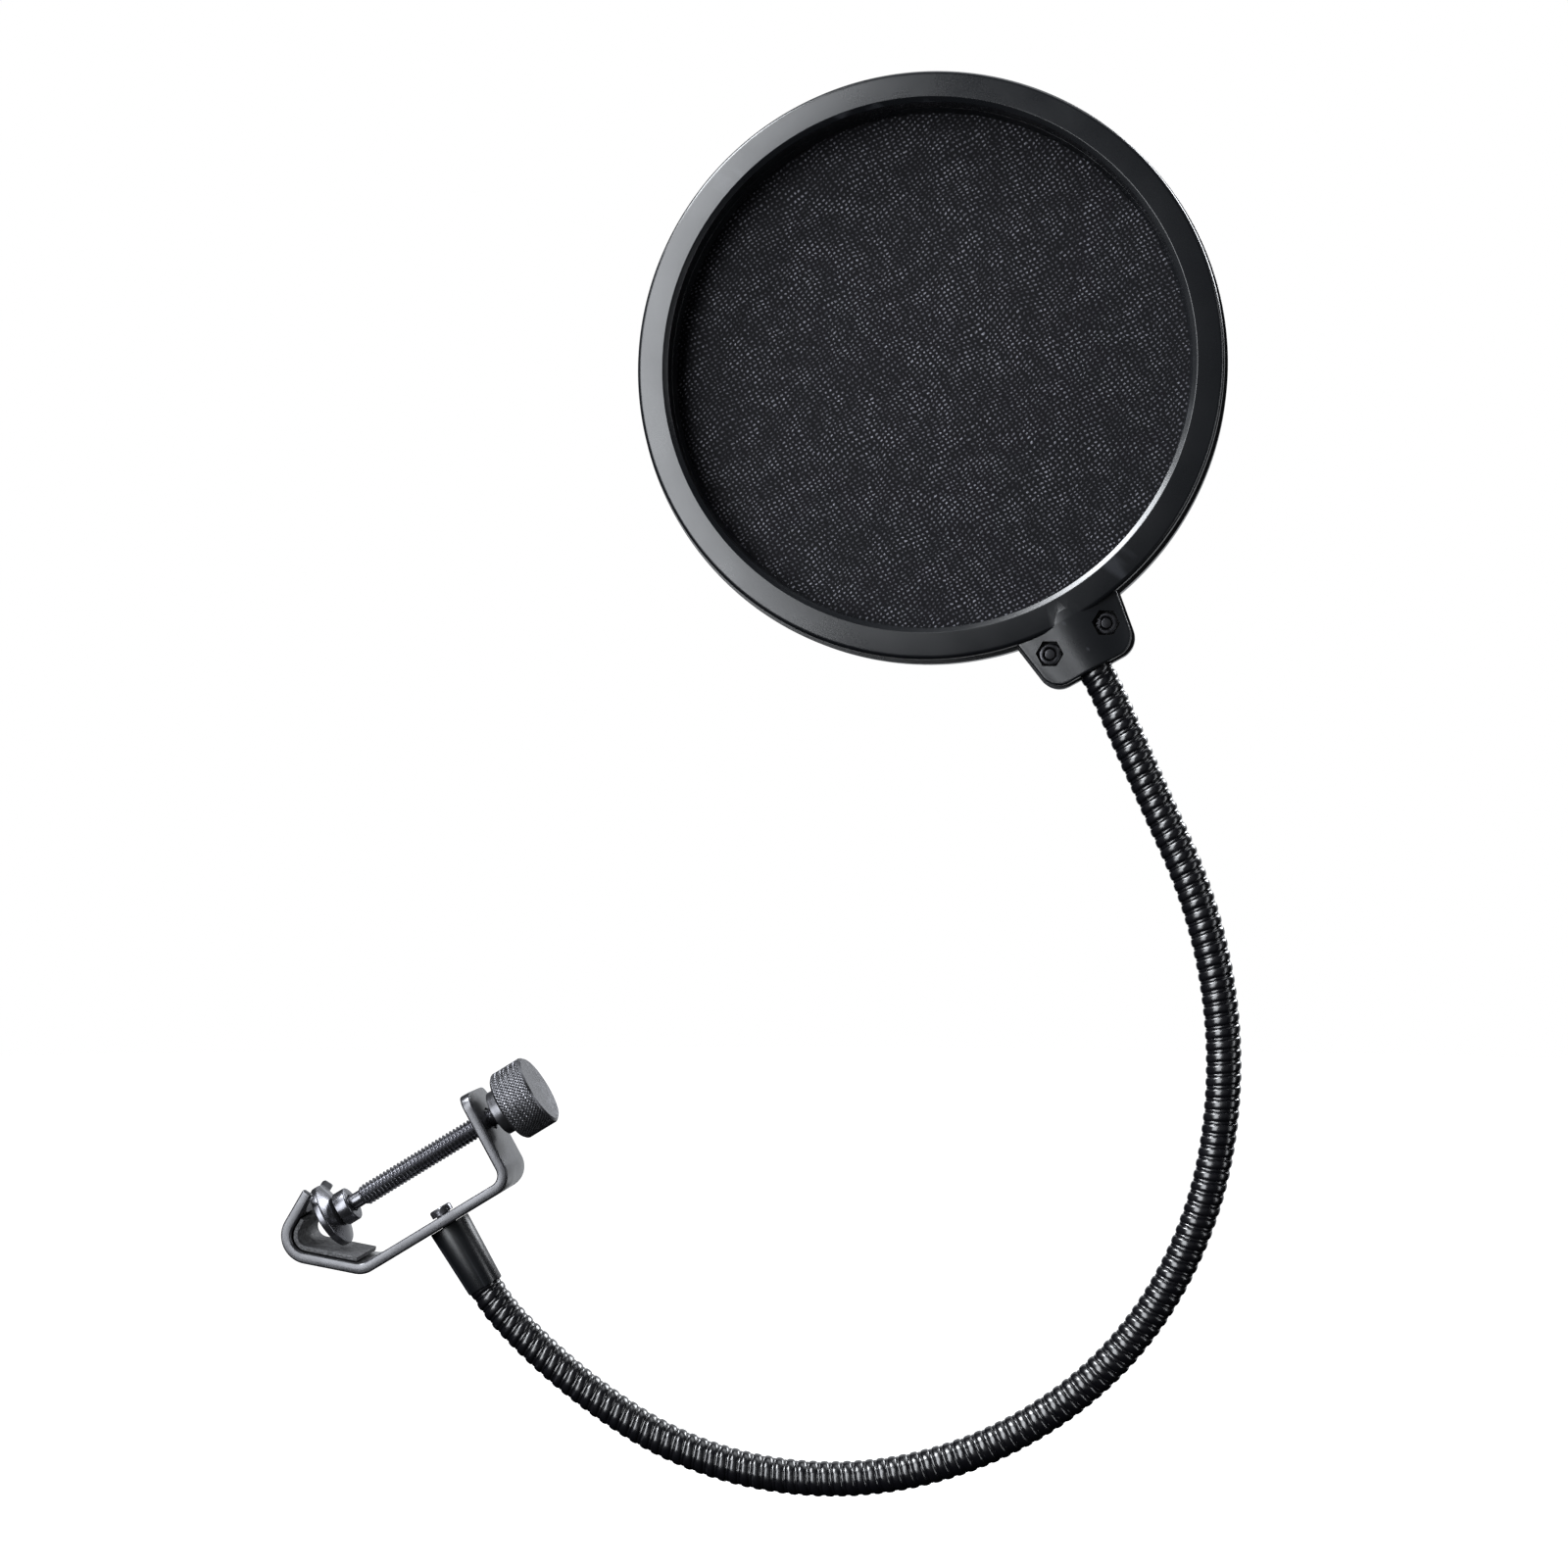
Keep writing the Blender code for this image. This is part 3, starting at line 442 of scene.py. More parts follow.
blackPlastic = hoopPlastic()
net = netNylon("netNylon", math.radians(33), (0, 0, 0))
backNet = netNylon("backNetNylon", math.radians(-24), (13 * mm, 0, 7 * mm))
lacquer = neckLacquer()
nickel = blackNickel()
paint = strapPaint()
rubber = linerRubber()
steel = plainSteel()
knobMetal = blackNickel("knobNickel", (0.1, 0.1, 0.107), 0.3)
fixingMetal = blackNickel("fixingBlack", (0.035, 0.035, 0.038), 0.28)
print("finishes made")


neckForm = dict(
    collarLength=19.3 * mm, lead=(12 * mm, 13.1), linkLength=40.25 * mm,
    turns=(14.5, 23.4, 22.7, 20.9, 23.2, 20.9, 17.2, 16.7, -0.4), tail=(10 * mm, 5.0), inTail=8 * mm,
    coilRadius=4.6 * mm, grooveRadius=4.02 * mm, pitch=3.1 * mm, ridgeShare=0.26, ridgeRadius=4.28 * mm,
    crown=2.6, plug=6 * mm, bendHalf=15 * mm, columns=60, rowsPerCoil=24)


# the centre line is a chain of arcs: heading grows evenly along each, and a point moves on by the arc's chord
def neckLine(at):
    arcs = [neckForm["lead"]] + [(neckForm["linkLength"], turn) for turn in neckForm["turns"]]
    arcs += [neckForm["tail"], (neckForm["inTail"], 0.0)]
    lengths = np.array([a for a, _ in arcs])
    turns = np.radians([t for _, t in arcs])
    starts = np.concatenate([[0], np.cumsum(lengths)])
    origin, along, _ = collarAxes
    headings = math.atan2(along[2], along[0]) + np.concatenate([[0], np.cumsum(turns)])

    def chord(heading, turn, length, total):
        bent = turn * length / total
        return length * np.sinc(bent / 2 / math.pi), heading + bent / 2

    reach, way = chord(headings[:-1], turns, lengths, lengths)
    steps = np.stack([reach * np.cos(way), reach * np.sin(way)], -1)
    joins = np.concatenate([np.zeros((1, 2)), np.cumsum(steps, 0)])
    k = np.clip(np.searchsorted(starts, at, side="right") - 1, 0, len(arcs) - 1)
    reach, way = chord(headings[k], turns[k], at - starts[k], lengths[k])
    flat = joins[k] + np.stack([reach * np.cos(way), reach * np.sin(way)], -1)
    heading = headings[k] + turns[k] * (at - starts[k]) / lengths[k]
    base = origin + along * neckForm["collarLength"]
    centre = base + np.stack([flat[:, 0], np.zeros(len(at)), flat[:, 1]], -1)
    return centre, heading


# radius at a phase of the winding: half a flattened ellipse for the wide wire, and a lower one for the
# narrow ridge between
def coilRadius(phase):
    share = neckForm["ridgeShare"]
    wide = 1 - share
    x = np.where(phase < wide, phase / wide * 2 - 1, (phase - wide) / share * 2 - 1)
    crown = np.sqrt(np.clip(1 - np.abs(x) ** neckForm["crown"], 0, 1))
    top = np.where(phase < wide, neckForm["coilRadius"], neckForm["ridgeRadius"])
    return neckForm["grooveRadius"] + (top - neckForm["grooveRadius"]) * crown


# a stretch of neck: each point lies coilRadius from the centre line, at a phase that winds to the right
def neckStretch(low, high):
    rows = int(math.ceil((high - low) / neckForm["pitch"] * neckForm["rowsPerCoil"]))
    at = np.linspace(low, high, rows + 1)
    angle = np.linspace(0, 2 * math.pi, neckForm["columns"], endpoint=False)
    centre, heading = neckLine(at)
    phase = (at[:, None] / neckForm["pitch"] - angle / (2 * math.pi)) % 1.0
    radius = coilRadius(phase)
    up = np.stack([-np.sin(heading), np.zeros(len(at)), np.cos(heading)], -1)
    out = np.cos(angle)[:, None] * np.array((0.0, 1.0, 0.0)) + np.sin(angle)[:, None] * up[:, None]
    return centre[:, None] + radius[..., None] * out


# nine stretches, each reaching half a link to either side of one pivot; the first starts in a plug inside the
# collar
def makeNeck():
    lead, link, half = neckForm["lead"][0], neckForm["linkLength"], neckForm["bendHalf"]
    bends = len(neckForm["turns"])
    total = lead + link * bends + neckForm["tail"][0] + neckForm["inTail"]
    for i in range(1, bends + 1):
        pivot = lead + (i - 1) * link
        low = 0.0 if i == 1 else pivot - link / 2
        high = total if i == bends else pivot + link / 2
        points = neckStretch(low, high)
        if i == 1:
            plug = points[:1] - collarAxes[1] * neckForm["plug"]
            points = np.concatenate([plug, points])
        mesh = weld(gridMesh(f"neckCoil{i}", points), 1e-7)
        bm = bmesh.new()
        bm.from_mesh(mesh)
        bmesh.ops.holes_fill(bm, edges=[e for e in bm.edges if e.is_boundary], sides=0)
        bmesh.ops.recalc_face_normals(bm, faces=bm.faces)
        bm.to_mesh(mesh)
        bm.free()
        piece = newPiece(f"neckCoil{i}", mesh, None, lacquer, 50)
        ends, _ = neckLine(np.array([pivot - min(half, pivot), pivot + half]))
        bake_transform(piece)
        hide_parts(f"neck_link_{i - 1}", f"neck_link_{i}")
    print("neck wound,", round(total / neckForm["pitch"]), "coils")


makeNeck()


collarForm = dict(
    seat=0.22 * mm, length=19 * mm, top=5.75 * mm, end=5.0 * mm, bore=3.9 * mm, edge=0.5 * mm,
    innerEdge=0.2 * mm, boreEdge=0.1 * mm, flare=0.75 * mm, flareDepth=0.5 * mm)


def makeCollar():
    form = collarForm
    foot, length, bore = -form["seat"], form["length"], form["bore"]
    corners = [
        (foot, bore, form["boreEdge"]),
        (foot, form["top"], form["innerEdge"]),
        (length, form["end"], form["edge"]),
        (length, bore + form["flare"], form["innerEdge"]),
        (length - form["flareDepth"], bore, form["boreEdge"]),
    ]
    turnedPiece("neckCollar", corners, 96, collarAxes, "collar", blackPlastic,
                ["neck_collar"])
    finishNode("collar_insert", steel)


makeCollar()
print("collar made")


# holes are (low, high, radius) along their own axes
strapForm = dict(
    width=20 * mm, thickness=2.9 * mm, baseDrop=15.5 * mm, baseLength=44.5 * mm,
    armLean=2.5, armLength=24.5 * mm, armCorner=4 * mm, armHole=(40 * mm, 56 * mm, 3.2 * mm),
    bends=(3.0 * mm, 3.6 * mm, 4.6 * mm), hookRise=41.0, hookFold=111.0, jawLength=22.5 * mm,
    lipLength=16.8 * mm, jawCorner=2.8 * mm, edge=0.55 * mm, baseHole=(-8 * mm, 2 * mm, 2.3 * mm),
    notchWidth=15.4 * mm, notchDepth=6.4 * mm, notchCorner=4.4 * mm, notchFlare=1.2 * mm,
    notchMouth=1.4 * mm, notchMouthCorner=1.2 * mm, notchStart=0.4 * mm, notchReach=5 * mm)
linerForm = dict(thickness=1.3 * mm, width=18 * mm, onLip=9.6 * mm, gap=0.3 * mm, edge=0.25 * mm)


# the strap's inner line in clamp axes: four straights, as headings and lengths from the arm's tip
def strapCorners():
    form = strapForm
    jaw = 180 - form["hookRise"]
    headings = np.radians([-90 - form["armLean"], 180, jaw, jaw - form["hookFold"]])
    lengths = np.array([form["armLength"], form["baseLength"], form["jawLength"], form["lipLength"]])
    ways = np.stack([np.cos(headings), np.sin(headings)], -1)
    steps = np.concatenate([np.zeros((1, 2)), np.cumsum(ways * lengths[:, None], 0)])
    corner = np.array((form["jawCorner"] + form["baseLength"], -form["baseDrop"]))
    return corner - ways[0] * lengths[0] + steps, ways


# a line of corners and radii sampled at even distances, with the normal on its right
def alongLine(corners, radii, distances):
    line = roundedLine(np.column_stack([corners, radii]), 24, closed=False)
    line = line[np.concatenate([[True], np.linalg.norm(np.diff(line, axis=0), axis=1) > 1e-7])]
    gone = np.concatenate([[0], np.cumsum(np.linalg.norm(np.diff(line, axis=0), axis=1))])
    distances = np.where(distances < 0, gone[-1] + distances, distances)
    step = 0.05 * mm
    points, before, after = [
        np.stack([np.interp(distances + shift, gone, line[:, k]) for k in (0, 1)], -1)
        for shift in (0.0, -step, step)]
    way = (after - before) / np.linalg.norm(after - before, axis=1)[:, None]
    return points, np.stack([way[:, 1], -way[:, 0]], -1), gone[-1]


# a rounded rectangle carried along a line: near and far are offsets on the line's right, and the
# section draws in at both ends by the edge's own arc
def stripMesh(name, corners, radii, near, far, halfWidth, edge, axes, tipCorner=0.0):
    total = alongLine(corners, radii, np.array([0.0]))[2]
    rimSteps, tipSteps, cornerSteps, stride = 7, 14, 6, 0.5 * mm
    rim = edge * (1 - np.cos(np.linspace(0, math.pi / 2, rimSteps)))
    tip = tipCorner * (1 - np.cos(np.linspace(0, math.pi / 2, tipSteps)))
    even = np.arange(max(edge, tipCorner), total - edge, stride)
    at = np.unique(np.round(np.concatenate([rim, tip, even, total - rim]), 9))
    points, normal, _ = alongLine(corners, radii, at)
    toEnd = np.minimum(at, total - at)
    draw = edge - np.sqrt(np.clip(edge ** 2 - np.clip(edge - toEnd, 0, None) ** 2, 0, None))
    half = np.full(len(at), halfWidth)
    if tipCorner:
        half -= tipCorner - np.sqrt(np.clip(tipCorner ** 2 - np.clip(tipCorner - at, 0, None) ** 2, 0, None))
    angle = np.radians(np.concatenate([np.linspace(k * 90, k * 90 + 90, cornerSteps) for k in range(4)]))
    quarter = np.radians(np.repeat([45, 135, 225, 315], cornerSteps))
    signY, signN = np.sign(np.cos(quarter)), np.sign(np.sin(quarter))
    middleN, halfN = (near + far) / 2, abs(far - near) / 2
    y = signY * (half - edge)[:, None] + (edge - draw)[:, None] * np.cos(angle)
    n = middleN + signN * (halfN - edge) + (edge - draw)[:, None] * np.sin(angle)
    along = points[:, None, 0] + n * normal[:, None, 0]
    up = points[:, None, 1] + n * normal[:, None, 1]
    local = np.stack([along, y, up], -1)
    caps = local[[0, -1]].mean(1, keepdims=True).repeat(local.shape[1], 1)
    return weld(gridMesh(name, place(np.concatenate([caps[:1], local, caps[1:]]), axes)))


def makeStrap():
    form = strapForm
    corners, ways = strapCorners()
    radii = [0, *form["bends"], 0]
    mesh = stripMesh("clampStrap", corners, radii, 0.0, -form["thickness"], form["width"] / 2, form["edge"],
                     clampAxes, form["armCorner"])
    strap = newPiece("clampStrap", mesh, None, paint)
    tip, lipWay = corners[-1], ways[-1]
    along, up = clampAxes[1:]
    tipAxes = axesAt(place(np.array((tip[0], 0, tip[1])), clampAxes), along * lipWay[0] + up * lipWay[1])
    half, mouth = form["notchWidth"] / 2, form["notchWidth"] / 2 + form["notchFlare"]
    right = [
        (form["notchReach"], mouth, 0),
        (form["notchStart"], mouth, 0),
        (-form["notchMouth"], half, form["notchMouthCorner"]),
        (-form["notchDepth"], half, form["notchCorner"]),
    ]
    left = [(u, -v, radius) for u, v, radius in right]
    notch = roundedLine(left[:1] + right + left[:0:-1], 8)
    carve(strap, [
        ("DIFFERENCE", block("notch", notch, -6 * mm, 6 * mm, tipAxes, "up")),
        ("DIFFERENCE", drill("armHole", *form["armHole"], clampAxes)),
        ("DIFFERENCE", drill("baseHole", *form["baseHole"], collarAxes)),
    ])
    finishCarved(strap, "clamp_frame", ["clamp_strap"])


def makeLiner():
    form = linerForm
    corners, ways = strapCorners()
    bendReach = strapForm["bends"][1] * math.tan(math.radians(strapForm["hookRise"] / 2))
    start = corners[2] + ways[2] * (bendReach + form["gap"])
    line = np.array([start, corners[3], corners[3] + ways[3] * form["onLip"]])
    mesh = stripMesh("jawLiner", line, [0, strapForm["bends"][2], 0], form["gap"],
                     form["gap"] + form["thickness"], form["width"] / 2, form["edge"], clampAxes)
    newPiece("jawLiner", mesh, "clamp_frame", rubber, replaces=["jaw_pad"])


makeStrap()
makeLiner()
print("strap and liner made")


screwForm = dict(
    ball=1.9 * mm, ballAt=0.9 * mm, stem=1.2 * mm, rod=2.1 * mm, shoulder=0.3 * mm, edge=0.2 * mm,
    threadFrom=9.4 * mm, threadTo=59.6 * mm, thread=2.9 * mm, pitch=1.13 * mm, threadDepth=0.62 * mm,
    crest=0.12, flank=0.76, runOut=0.8, taper=1.2, rowsPerTurn=12, columns=40)
bushForm = dict(at=2.4 * mm, length=3.6 * mm, outer=4.7 * mm, bore=2.4 * mm,
                edges=(0.1 * mm, 0.3 * mm, 0.45 * mm, 0.2 * mm))
# the socket runs from its mouth down to its floor: height above the face, radius, corner
footForm = dict(
    face=-1.9 * mm, radius=8.8 * mm, rim=2.0 * mm, length=3.8 * mm, back=3.9 * mm,
    edge=0.5 * mm, backEdge=0.3 * mm,
    socket=((3.8 * mm, 1.9 * mm, 0.1 * mm), (3.2 * mm, 1.9 * mm, 0), (2.0 * mm, 2.15 * mm, 0.4 * mm),
            (0.7 * mm, 1.2 * mm, 0.3 * mm), (0.6 * mm, 0, 0)))
knobForm = dict(
    start=56.6 * mm, length=10 * mm, radius=9.9 * mm, bossLength=3.3 * mm, boss=6.3 * mm, bore=3.2 * mm,
    boreGap=0.3 * mm, boreEdge=0.1 * mm, bossEdge=0.3 * mm, chamfer=0.8 * mm, backLip=0.1 * mm,
    faceLip=0.15 * mm, faceStep=0.5 * mm, faceDrop=0.05 * mm,
    knurls=62, knurlDepth=0.3 * mm, knurlPitch=1.05 * mm, knurlSlope=1.15, columnsPerKnurl=6, rows=84)


# thread: the radius falls from the crest by a saw wave of the distance along, less one pitch for each turn
def makeSpindle():
    form = screwForm
    start, end, pitch, depth = form["threadFrom"], form["threadTo"], form["pitch"], form["threadDepth"]
    rows, sides = int((end - start) / pitch * form["rowsPerTurn"]), form["columns"]
    at = np.linspace(start, end, rows + 1)[:, None]
    angle = np.linspace(0, 2 * math.pi, sides, endpoint=False)
    wave = np.abs(((at / pitch - angle / (2 * math.pi)) % 1.0) * 2 - 1)
    cut = np.clip((wave - form["crest"]) / form["flank"], 0, 1) * depth
    taper = np.clip((at - start) / pitch, 0, 1) * np.clip((end - at) / (form["runOut"] * pitch), 0, 1)
    root = form["thread"] - depth
    radius = np.minimum(form["thread"] - cut, root + taper * depth * form["taper"])
    thread = np.stack([at + 0 * radius, radius * np.cos(angle), radius * np.sin(angle)], -1)
    bend = math.asin(form["stem"] / form["ball"])
    ball = np.linspace(0, math.pi - bend, 14)
    head = [(form["ballAt"] - form["ball"] * math.cos(a), form["ball"] * math.sin(a)) for a in ball]
    shoulder, rod, edge = bushForm["at"] - form["shoulder"], form["rod"], form["edge"]
    head += [(shoulder, form["stem"]), (shoulder, rod - edge), (shoulder + edge, rod), (start - edge, rod)]
    parts = [turnedLocal(head, sides), thread, turnedLocal([(end, 0)], sides)]
    mesh = weld(gridMesh("clampSpindle", place(np.concatenate(parts), clampAxes)))
    newPiece("clampSpindle", mesh, "spindle", nickel, 40, ["clamp_spindle"])


def makeFoot():
    form, bush = footForm, bushForm
    face = form["face"]
    corners = [
        (face, 0, 0),
        (face, form["radius"], form["edge"]),
        (face + form["rim"], form["radius"], form["edge"]),
        (face + form["length"], form["back"], form["backEdge"]),
    ]
    corners += [(face + level, radius, corner) for level, radius, corner in form["socket"]]
    turnedPiece("footDisc", corners, 96, clampAxes, "foot", nickel,
                ["foot_disc"], closed=False)
    low, high = bush["at"], bush["at"] + bush["length"]
    levels, radii = (low, low, high, high), (bush["bore"], bush["outer"], bush["outer"], bush["bore"])
    ring = list(zip(levels, radii, bush["edges"]))
    turnedPiece("footBush", ring, 72, clampAxes, "foot_bush", nickel, ["foot_bush"])


# knurl: two families of grooves that cross; the depth at a point is the nearer groove's
def makeKnob():
    form = knobForm
    start, length, radius, edge = form["start"], form["length"], form["radius"], form["chamfer"]
    sides = form["knurls"] * form["columnsPerKnurl"]
    angle = np.linspace(0, 2 * math.pi, sides, endpoint=False)
    at = np.linspace(0, length, form["rows"])[:, None]
    turns = angle / (2 * math.pi) * form["knurls"]
    left = np.abs(((turns + at / form["knurlPitch"]) % 1.0) * 2 - 1)
    right = np.abs(((turns - at / form["knurlPitch"]) % 1.0) * 2 - 1)
    groove = np.clip(1 - np.minimum(left, right) * form["knurlSlope"], 0, 1)
    chamfer = np.maximum(0, edge - np.minimum(at, length - at))
    side = np.minimum(radius - groove * form["knurlDepth"], radius - chamfer)
    rim = np.stack([start + at + 0 * side, side * np.cos(angle), side * np.sin(angle)], -1)
    depth, bossAt = screwForm["threadTo"] + form["boreGap"], start - form["bossLength"]
    inner = roundedLine([
        (depth, 0, 0),
        (depth, form["bore"], 0),
        (bossAt, form["bore"], form["boreEdge"]),
        (bossAt, form["boss"], form["bossEdge"]),
        (start, form["boss"], form["bossEdge"]),
        (start, radius - edge - form["backLip"], 0),
    ], 4, closed=False)
    end = start + length
    face = [
        (end, radius - edge - form["faceLip"]),
        (end - form["faceDrop"], radius - edge - form["faceStep"]),
        (end - form["faceDrop"], 0),
    ]
    parts = [turnedLocal(inner, sides), rim, turnedLocal(face, sides)]
    mesh = weld(gridMesh("clampKnob", place(np.concatenate(parts), clampAxes)))
    newPiece("clampKnob", mesh, "spindle", knobMetal, 28, ["clamp_knob"])


makeSpindle()
makeFoot()
makeKnob()
print("screw, foot and knob made")


collarScrewForm = dict(
    standOff=0.6 * mm, head=3.1 * mm, headHeight=2.0 * mm, headEdge=0.6 * mm, shank=2.0 * mm,
    length=11.5 * mm, tipEdge=0.3 * mm, edge=0.1 * mm, slotHalf=0.65 * mm, slotDepth=0.9 * mm)


# a slotted screw: its head stands off the strap's outer face and its shank runs into the collar
def makeCollarScrew():
    form = collarScrewForm
    low = -(strapForm["thickness"] + form["standOff"])
    top, tip = low - form["headHeight"], low + form["length"]
    corners = [
        (top, 0, 0),
        (top, form["head"], form["headEdge"]),
        (low, form["head"], form["edge"]),
        (low, form["shank"], form["edge"]),
        (tip, form["shank"], form["tipEdge"]),
        (tip, 0, 0),
    ]
    mesh = weld(gridMesh("collarScrew", turned(roundedLine(corners, 5, False), 64, collarAxes)))
    screw = newPiece("collarScrew", mesh, None, nickel)
    slot = rectangle(top - 1 * mm, top + form["slotDepth"], -form["slotHalf"], form["slotHalf"])
    carve(screw, [("DIFFERENCE", block("slot", slot, -6 * mm, 6 * mm, collarAxes))])
    finishCarved(screw, "clamp_frame", ["collar_screw"])


makeCollarScrew()
print("collar screw made")


# edges are the corner radii of each half's section, in order round it
hoopForm = dict(
    front=76.6 * mm, back=77.5 * mm, frontY=-7.2 * mm, backY=7.8 * mm, parting=0.15 * mm,
    faceInner=69.7 * mm, bore=68.4 * mm, bevel=0.9 * mm, fall=0.75 * mm,
    window=67.7 * mm, housing=71.5 * mm, ledge=3.3 * mm, gap=0.3 * mm, sides=288,
    frontEdges=(0.1 * mm, 0.25 * mm, 0.35 * mm, 1.3 * mm, 0.15 * mm),
    backEdges=(0.1 * mm, 0.2 * mm, 1.2 * mm, 0.25 * mm, 0, 0.1 * mm))
# distances along the tail are from the hoop's middle; pairs run from the tail's root to its mouth
tailForm = dict(
    start=72.5 * mm, root=75.5 * mm, middle=81.0 * mm, reach=90.9 * mm, rootHalf=15.2 * mm,
    endHalf=12.8 * mm, corner=5.6 * mm, frontY=-4.0 * mm, backY=6.0 * mm, step=0.6 * mm,
    riseWide=(17 * mm, 11.5 * mm), riseHigh=(2.9 * mm, 1.95 * mm), edge=0.6 * mm, backEdge=0.7 * mm,
    neckBore=4.0 * mm, neckMouth=5.0 * mm, boreLength=12 * mm, slack=0.3 * mm, beyond=3 * mm,
    overlap=2 * mm, rimSteps=7, topRings=29, outline=160)
# where the two fixings stand in the tail, and the pockets and seats that hold them
fixingForm = dict(
    u=81.3 * mm, v=8.28 * mm, pocket=6.4 * mm, pocketFloor=-1.0 * mm, seatDrop=0.6 * mm, slack=0.3 * mm,
    screw=1.4 * mm, head=2.7 * mm, headHeight=1.8 * mm)
neckEnd = neckForm["lead"][0] + len(neckForm["turns"]) * neckForm["linkLength"] + neckForm["tail"][0]
tailMouth, tailHeading = neckLine(np.array([neckEnd]))
tailWay = -np.array((math.cos(tailHeading[0]), 0.0, math.sin(tailHeading[0])))
hoopAxes = axesAt(tailMouth[0] - tailWay * tailForm["reach"], tailWay)


# hoop pieces turn about the depth axis: (depth, radius) points
def hoopTurned(profile, sides):
    profile = np.array(profile, float)
    angle = np.linspace(0, 2 * math.pi, sides, endpoint=False)
    depth = np.repeat(profile[:, :1], len(angle), 1)
    local = np.stack([profile[:, 1:] * np.cos(angle), depth, profile[:, 1:] * np.sin(angle)], -1)
    return place(local, hoopAxes)


# a section (depth, radius, corner) turned into a ring
def hoopRing(name, corners, steps):
    return weld(gridMesh(name, hoopTurned(roundedLine(corners, steps), hoopForm["sides"]), ring=True))


# the tail from above: straight sides that draw in from root to mouth, in points at even distances
def tailOutline(shrink):
    form = tailForm
    end, side, root = form["reach"] - shrink, form["endHalf"] - shrink, form["rootHalf"] - shrink
    corners = [
        (form["start"], -root, 0),
        (form["root"], -root, 0),
        (end, -side, form["corner"]),
        (end, side, form["corner"]),
        (form["root"], root, 0),
        (form["start"], root, 0),
    ]
    line = roundedLine(corners, 10)
    line = np.concatenate([line, line[:1]])
    gone = np.concatenate([[0], np.cumsum(np.linalg.norm(np.diff(line, axis=0), axis=1))])
    even = np.linspace(0, gone[-1], form["outline"] + 1)[:-1]
    return np.stack([np.interp(even, gone, line[:, k]) for k in (0, 1)], -1)


# the swelling over the neck: a cosine across the tail, as high as the hoop's face at its root and a little
# lower and narrower at the mouth, above a level floor
def tailRise(points):
    form = tailForm
    share = np.clip((points[..., 0] - form["root"]) / (form["reach"] - form["root"]), 0, 1)
    wide, high = [pair[0] + (pair[1] - pair[0]) * share for pair in (form["riseWide"], form["riseHigh"])]
    across = np.clip(np.abs(points[..., 1]) / wide, 0, 1)
    return high * (0.5 + 0.5 * np.cos(math.pi * across))


# the tail's block: its outline rises from the parting plane, draws in round the outer edge by a quarter arc
# and closes over the top in rings, each point lifted by the swelling
def tailBlock(name, shrink, low, high, edge, rise=0.0):
    rings = tailForm["topRings"]
    outline = tailOutline(shrink)
    centre = np.array((tailForm["middle"], 0.0))
    turn = np.linspace(0, math.pi / 2, tailForm["rimSteps"])
    way = math.copysign(1.0, high - low)
    away = outline - centre
    size = np.linalg.norm(away, axis=1)[None]
    walls = np.array((0.0, 1.0))[:, None] * np.ones((1, size.size))
    rims = (size - edge * (1 - np.cos(turn))[:, None]) / size
    top = rims[-1:] * np.linspace(1, 0, rings + 1)[1:, None]
    share = np.concatenate([walls, rims, top])
    flat = centre + away[None] * share[..., None]
    drop = np.concatenate([[0, 0], edge * (1 - np.sin(turn)), np.zeros(rings)])[:, None]
    level = high + way * (tailRise(flat) * rise - drop)
    level[:2] = low
    return weld(gridMesh(name, place(np.stack([flat[..., 0], level, flat[..., 1]], -1), hoopAxes)))


def hexagon(flats, v):
    turns = np.radians(np.arange(6) * 60)
    corner = flats / math.sqrt(3)
    return np.stack([fixingForm["u"] + corner * np.cos(turns), v + corner * np.sin(turns)], -1)


def axleMesh(name, radius, low, high, v, sides=48):
    angle = np.linspace(0, 2 * math.pi, sides, endpoint=False)
    circle = np.stack([fixingForm["u"] + radius * np.cos(angle), v + radius * np.sin(angle)], -1)
    return block(name, circle, low, high, hoopAxes)


# room for the neck's end, wider where the neck comes out
def neckBore():
    form = tailForm
    end = form["reach"] - neckForm["inTail"]
    start, step, mouth = end - form["boreLength"], end - form["slack"], form["reach"] + form["beyond"]
    bore, wide = form["neckBore"], form["neckMouth"]
    profile = [(start, 0), (start, bore), (step, bore), (step, wide), (mouth, wide), (mouth, 0)]
    return weld(gridMesh("neckBore", turned(profile, 64, hoopAxes)))


def makeFrontHoop():
    form, tail, fixing = hoopForm, tailForm, fixingForm
    top, low = form["frontY"], -form["parting"]
    section = [
        (low, form["bore"]),
        (top + form["bevel"], form["bore"]),
        (top, form["faceInner"]),
        (top + form["fall"], form["front"]),
        (low, form["front"]),
    ]
    corners = [(depth, radius, edge) for (depth, radius), edge in zip(section, form["frontEdges"])]
    hoop = newPiece("frontHoop", hoopRing("frontHoop", corners, 8), None, blackPlastic)
    steps = [("UNION", tailBlock("tailFront", tail["step"], low, tail["frontY"], tail["edge"], 1.0))]
    for v in (-fixing["v"], fixing["v"]):
        pocket = hexagon(fixing["pocket"], v)
        outside = tail["frontY"] - tail["beyond"]
        radius = fixing["screw"] + fixing["slack"]
        steps.append(("DIFFERENCE", block("pocket", pocket, outside, fixing["pocketFloor"], hoopAxes)))
        steps.append(("DIFFERENCE", axleMesh("hole", radius, -tail["beyond"], tail["overlap"], v)))
    steps.append(("DIFFERENCE", neckBore()))
    carve(hoop, steps)
    finishCarved(hoop, "screen", ["front_ring"])


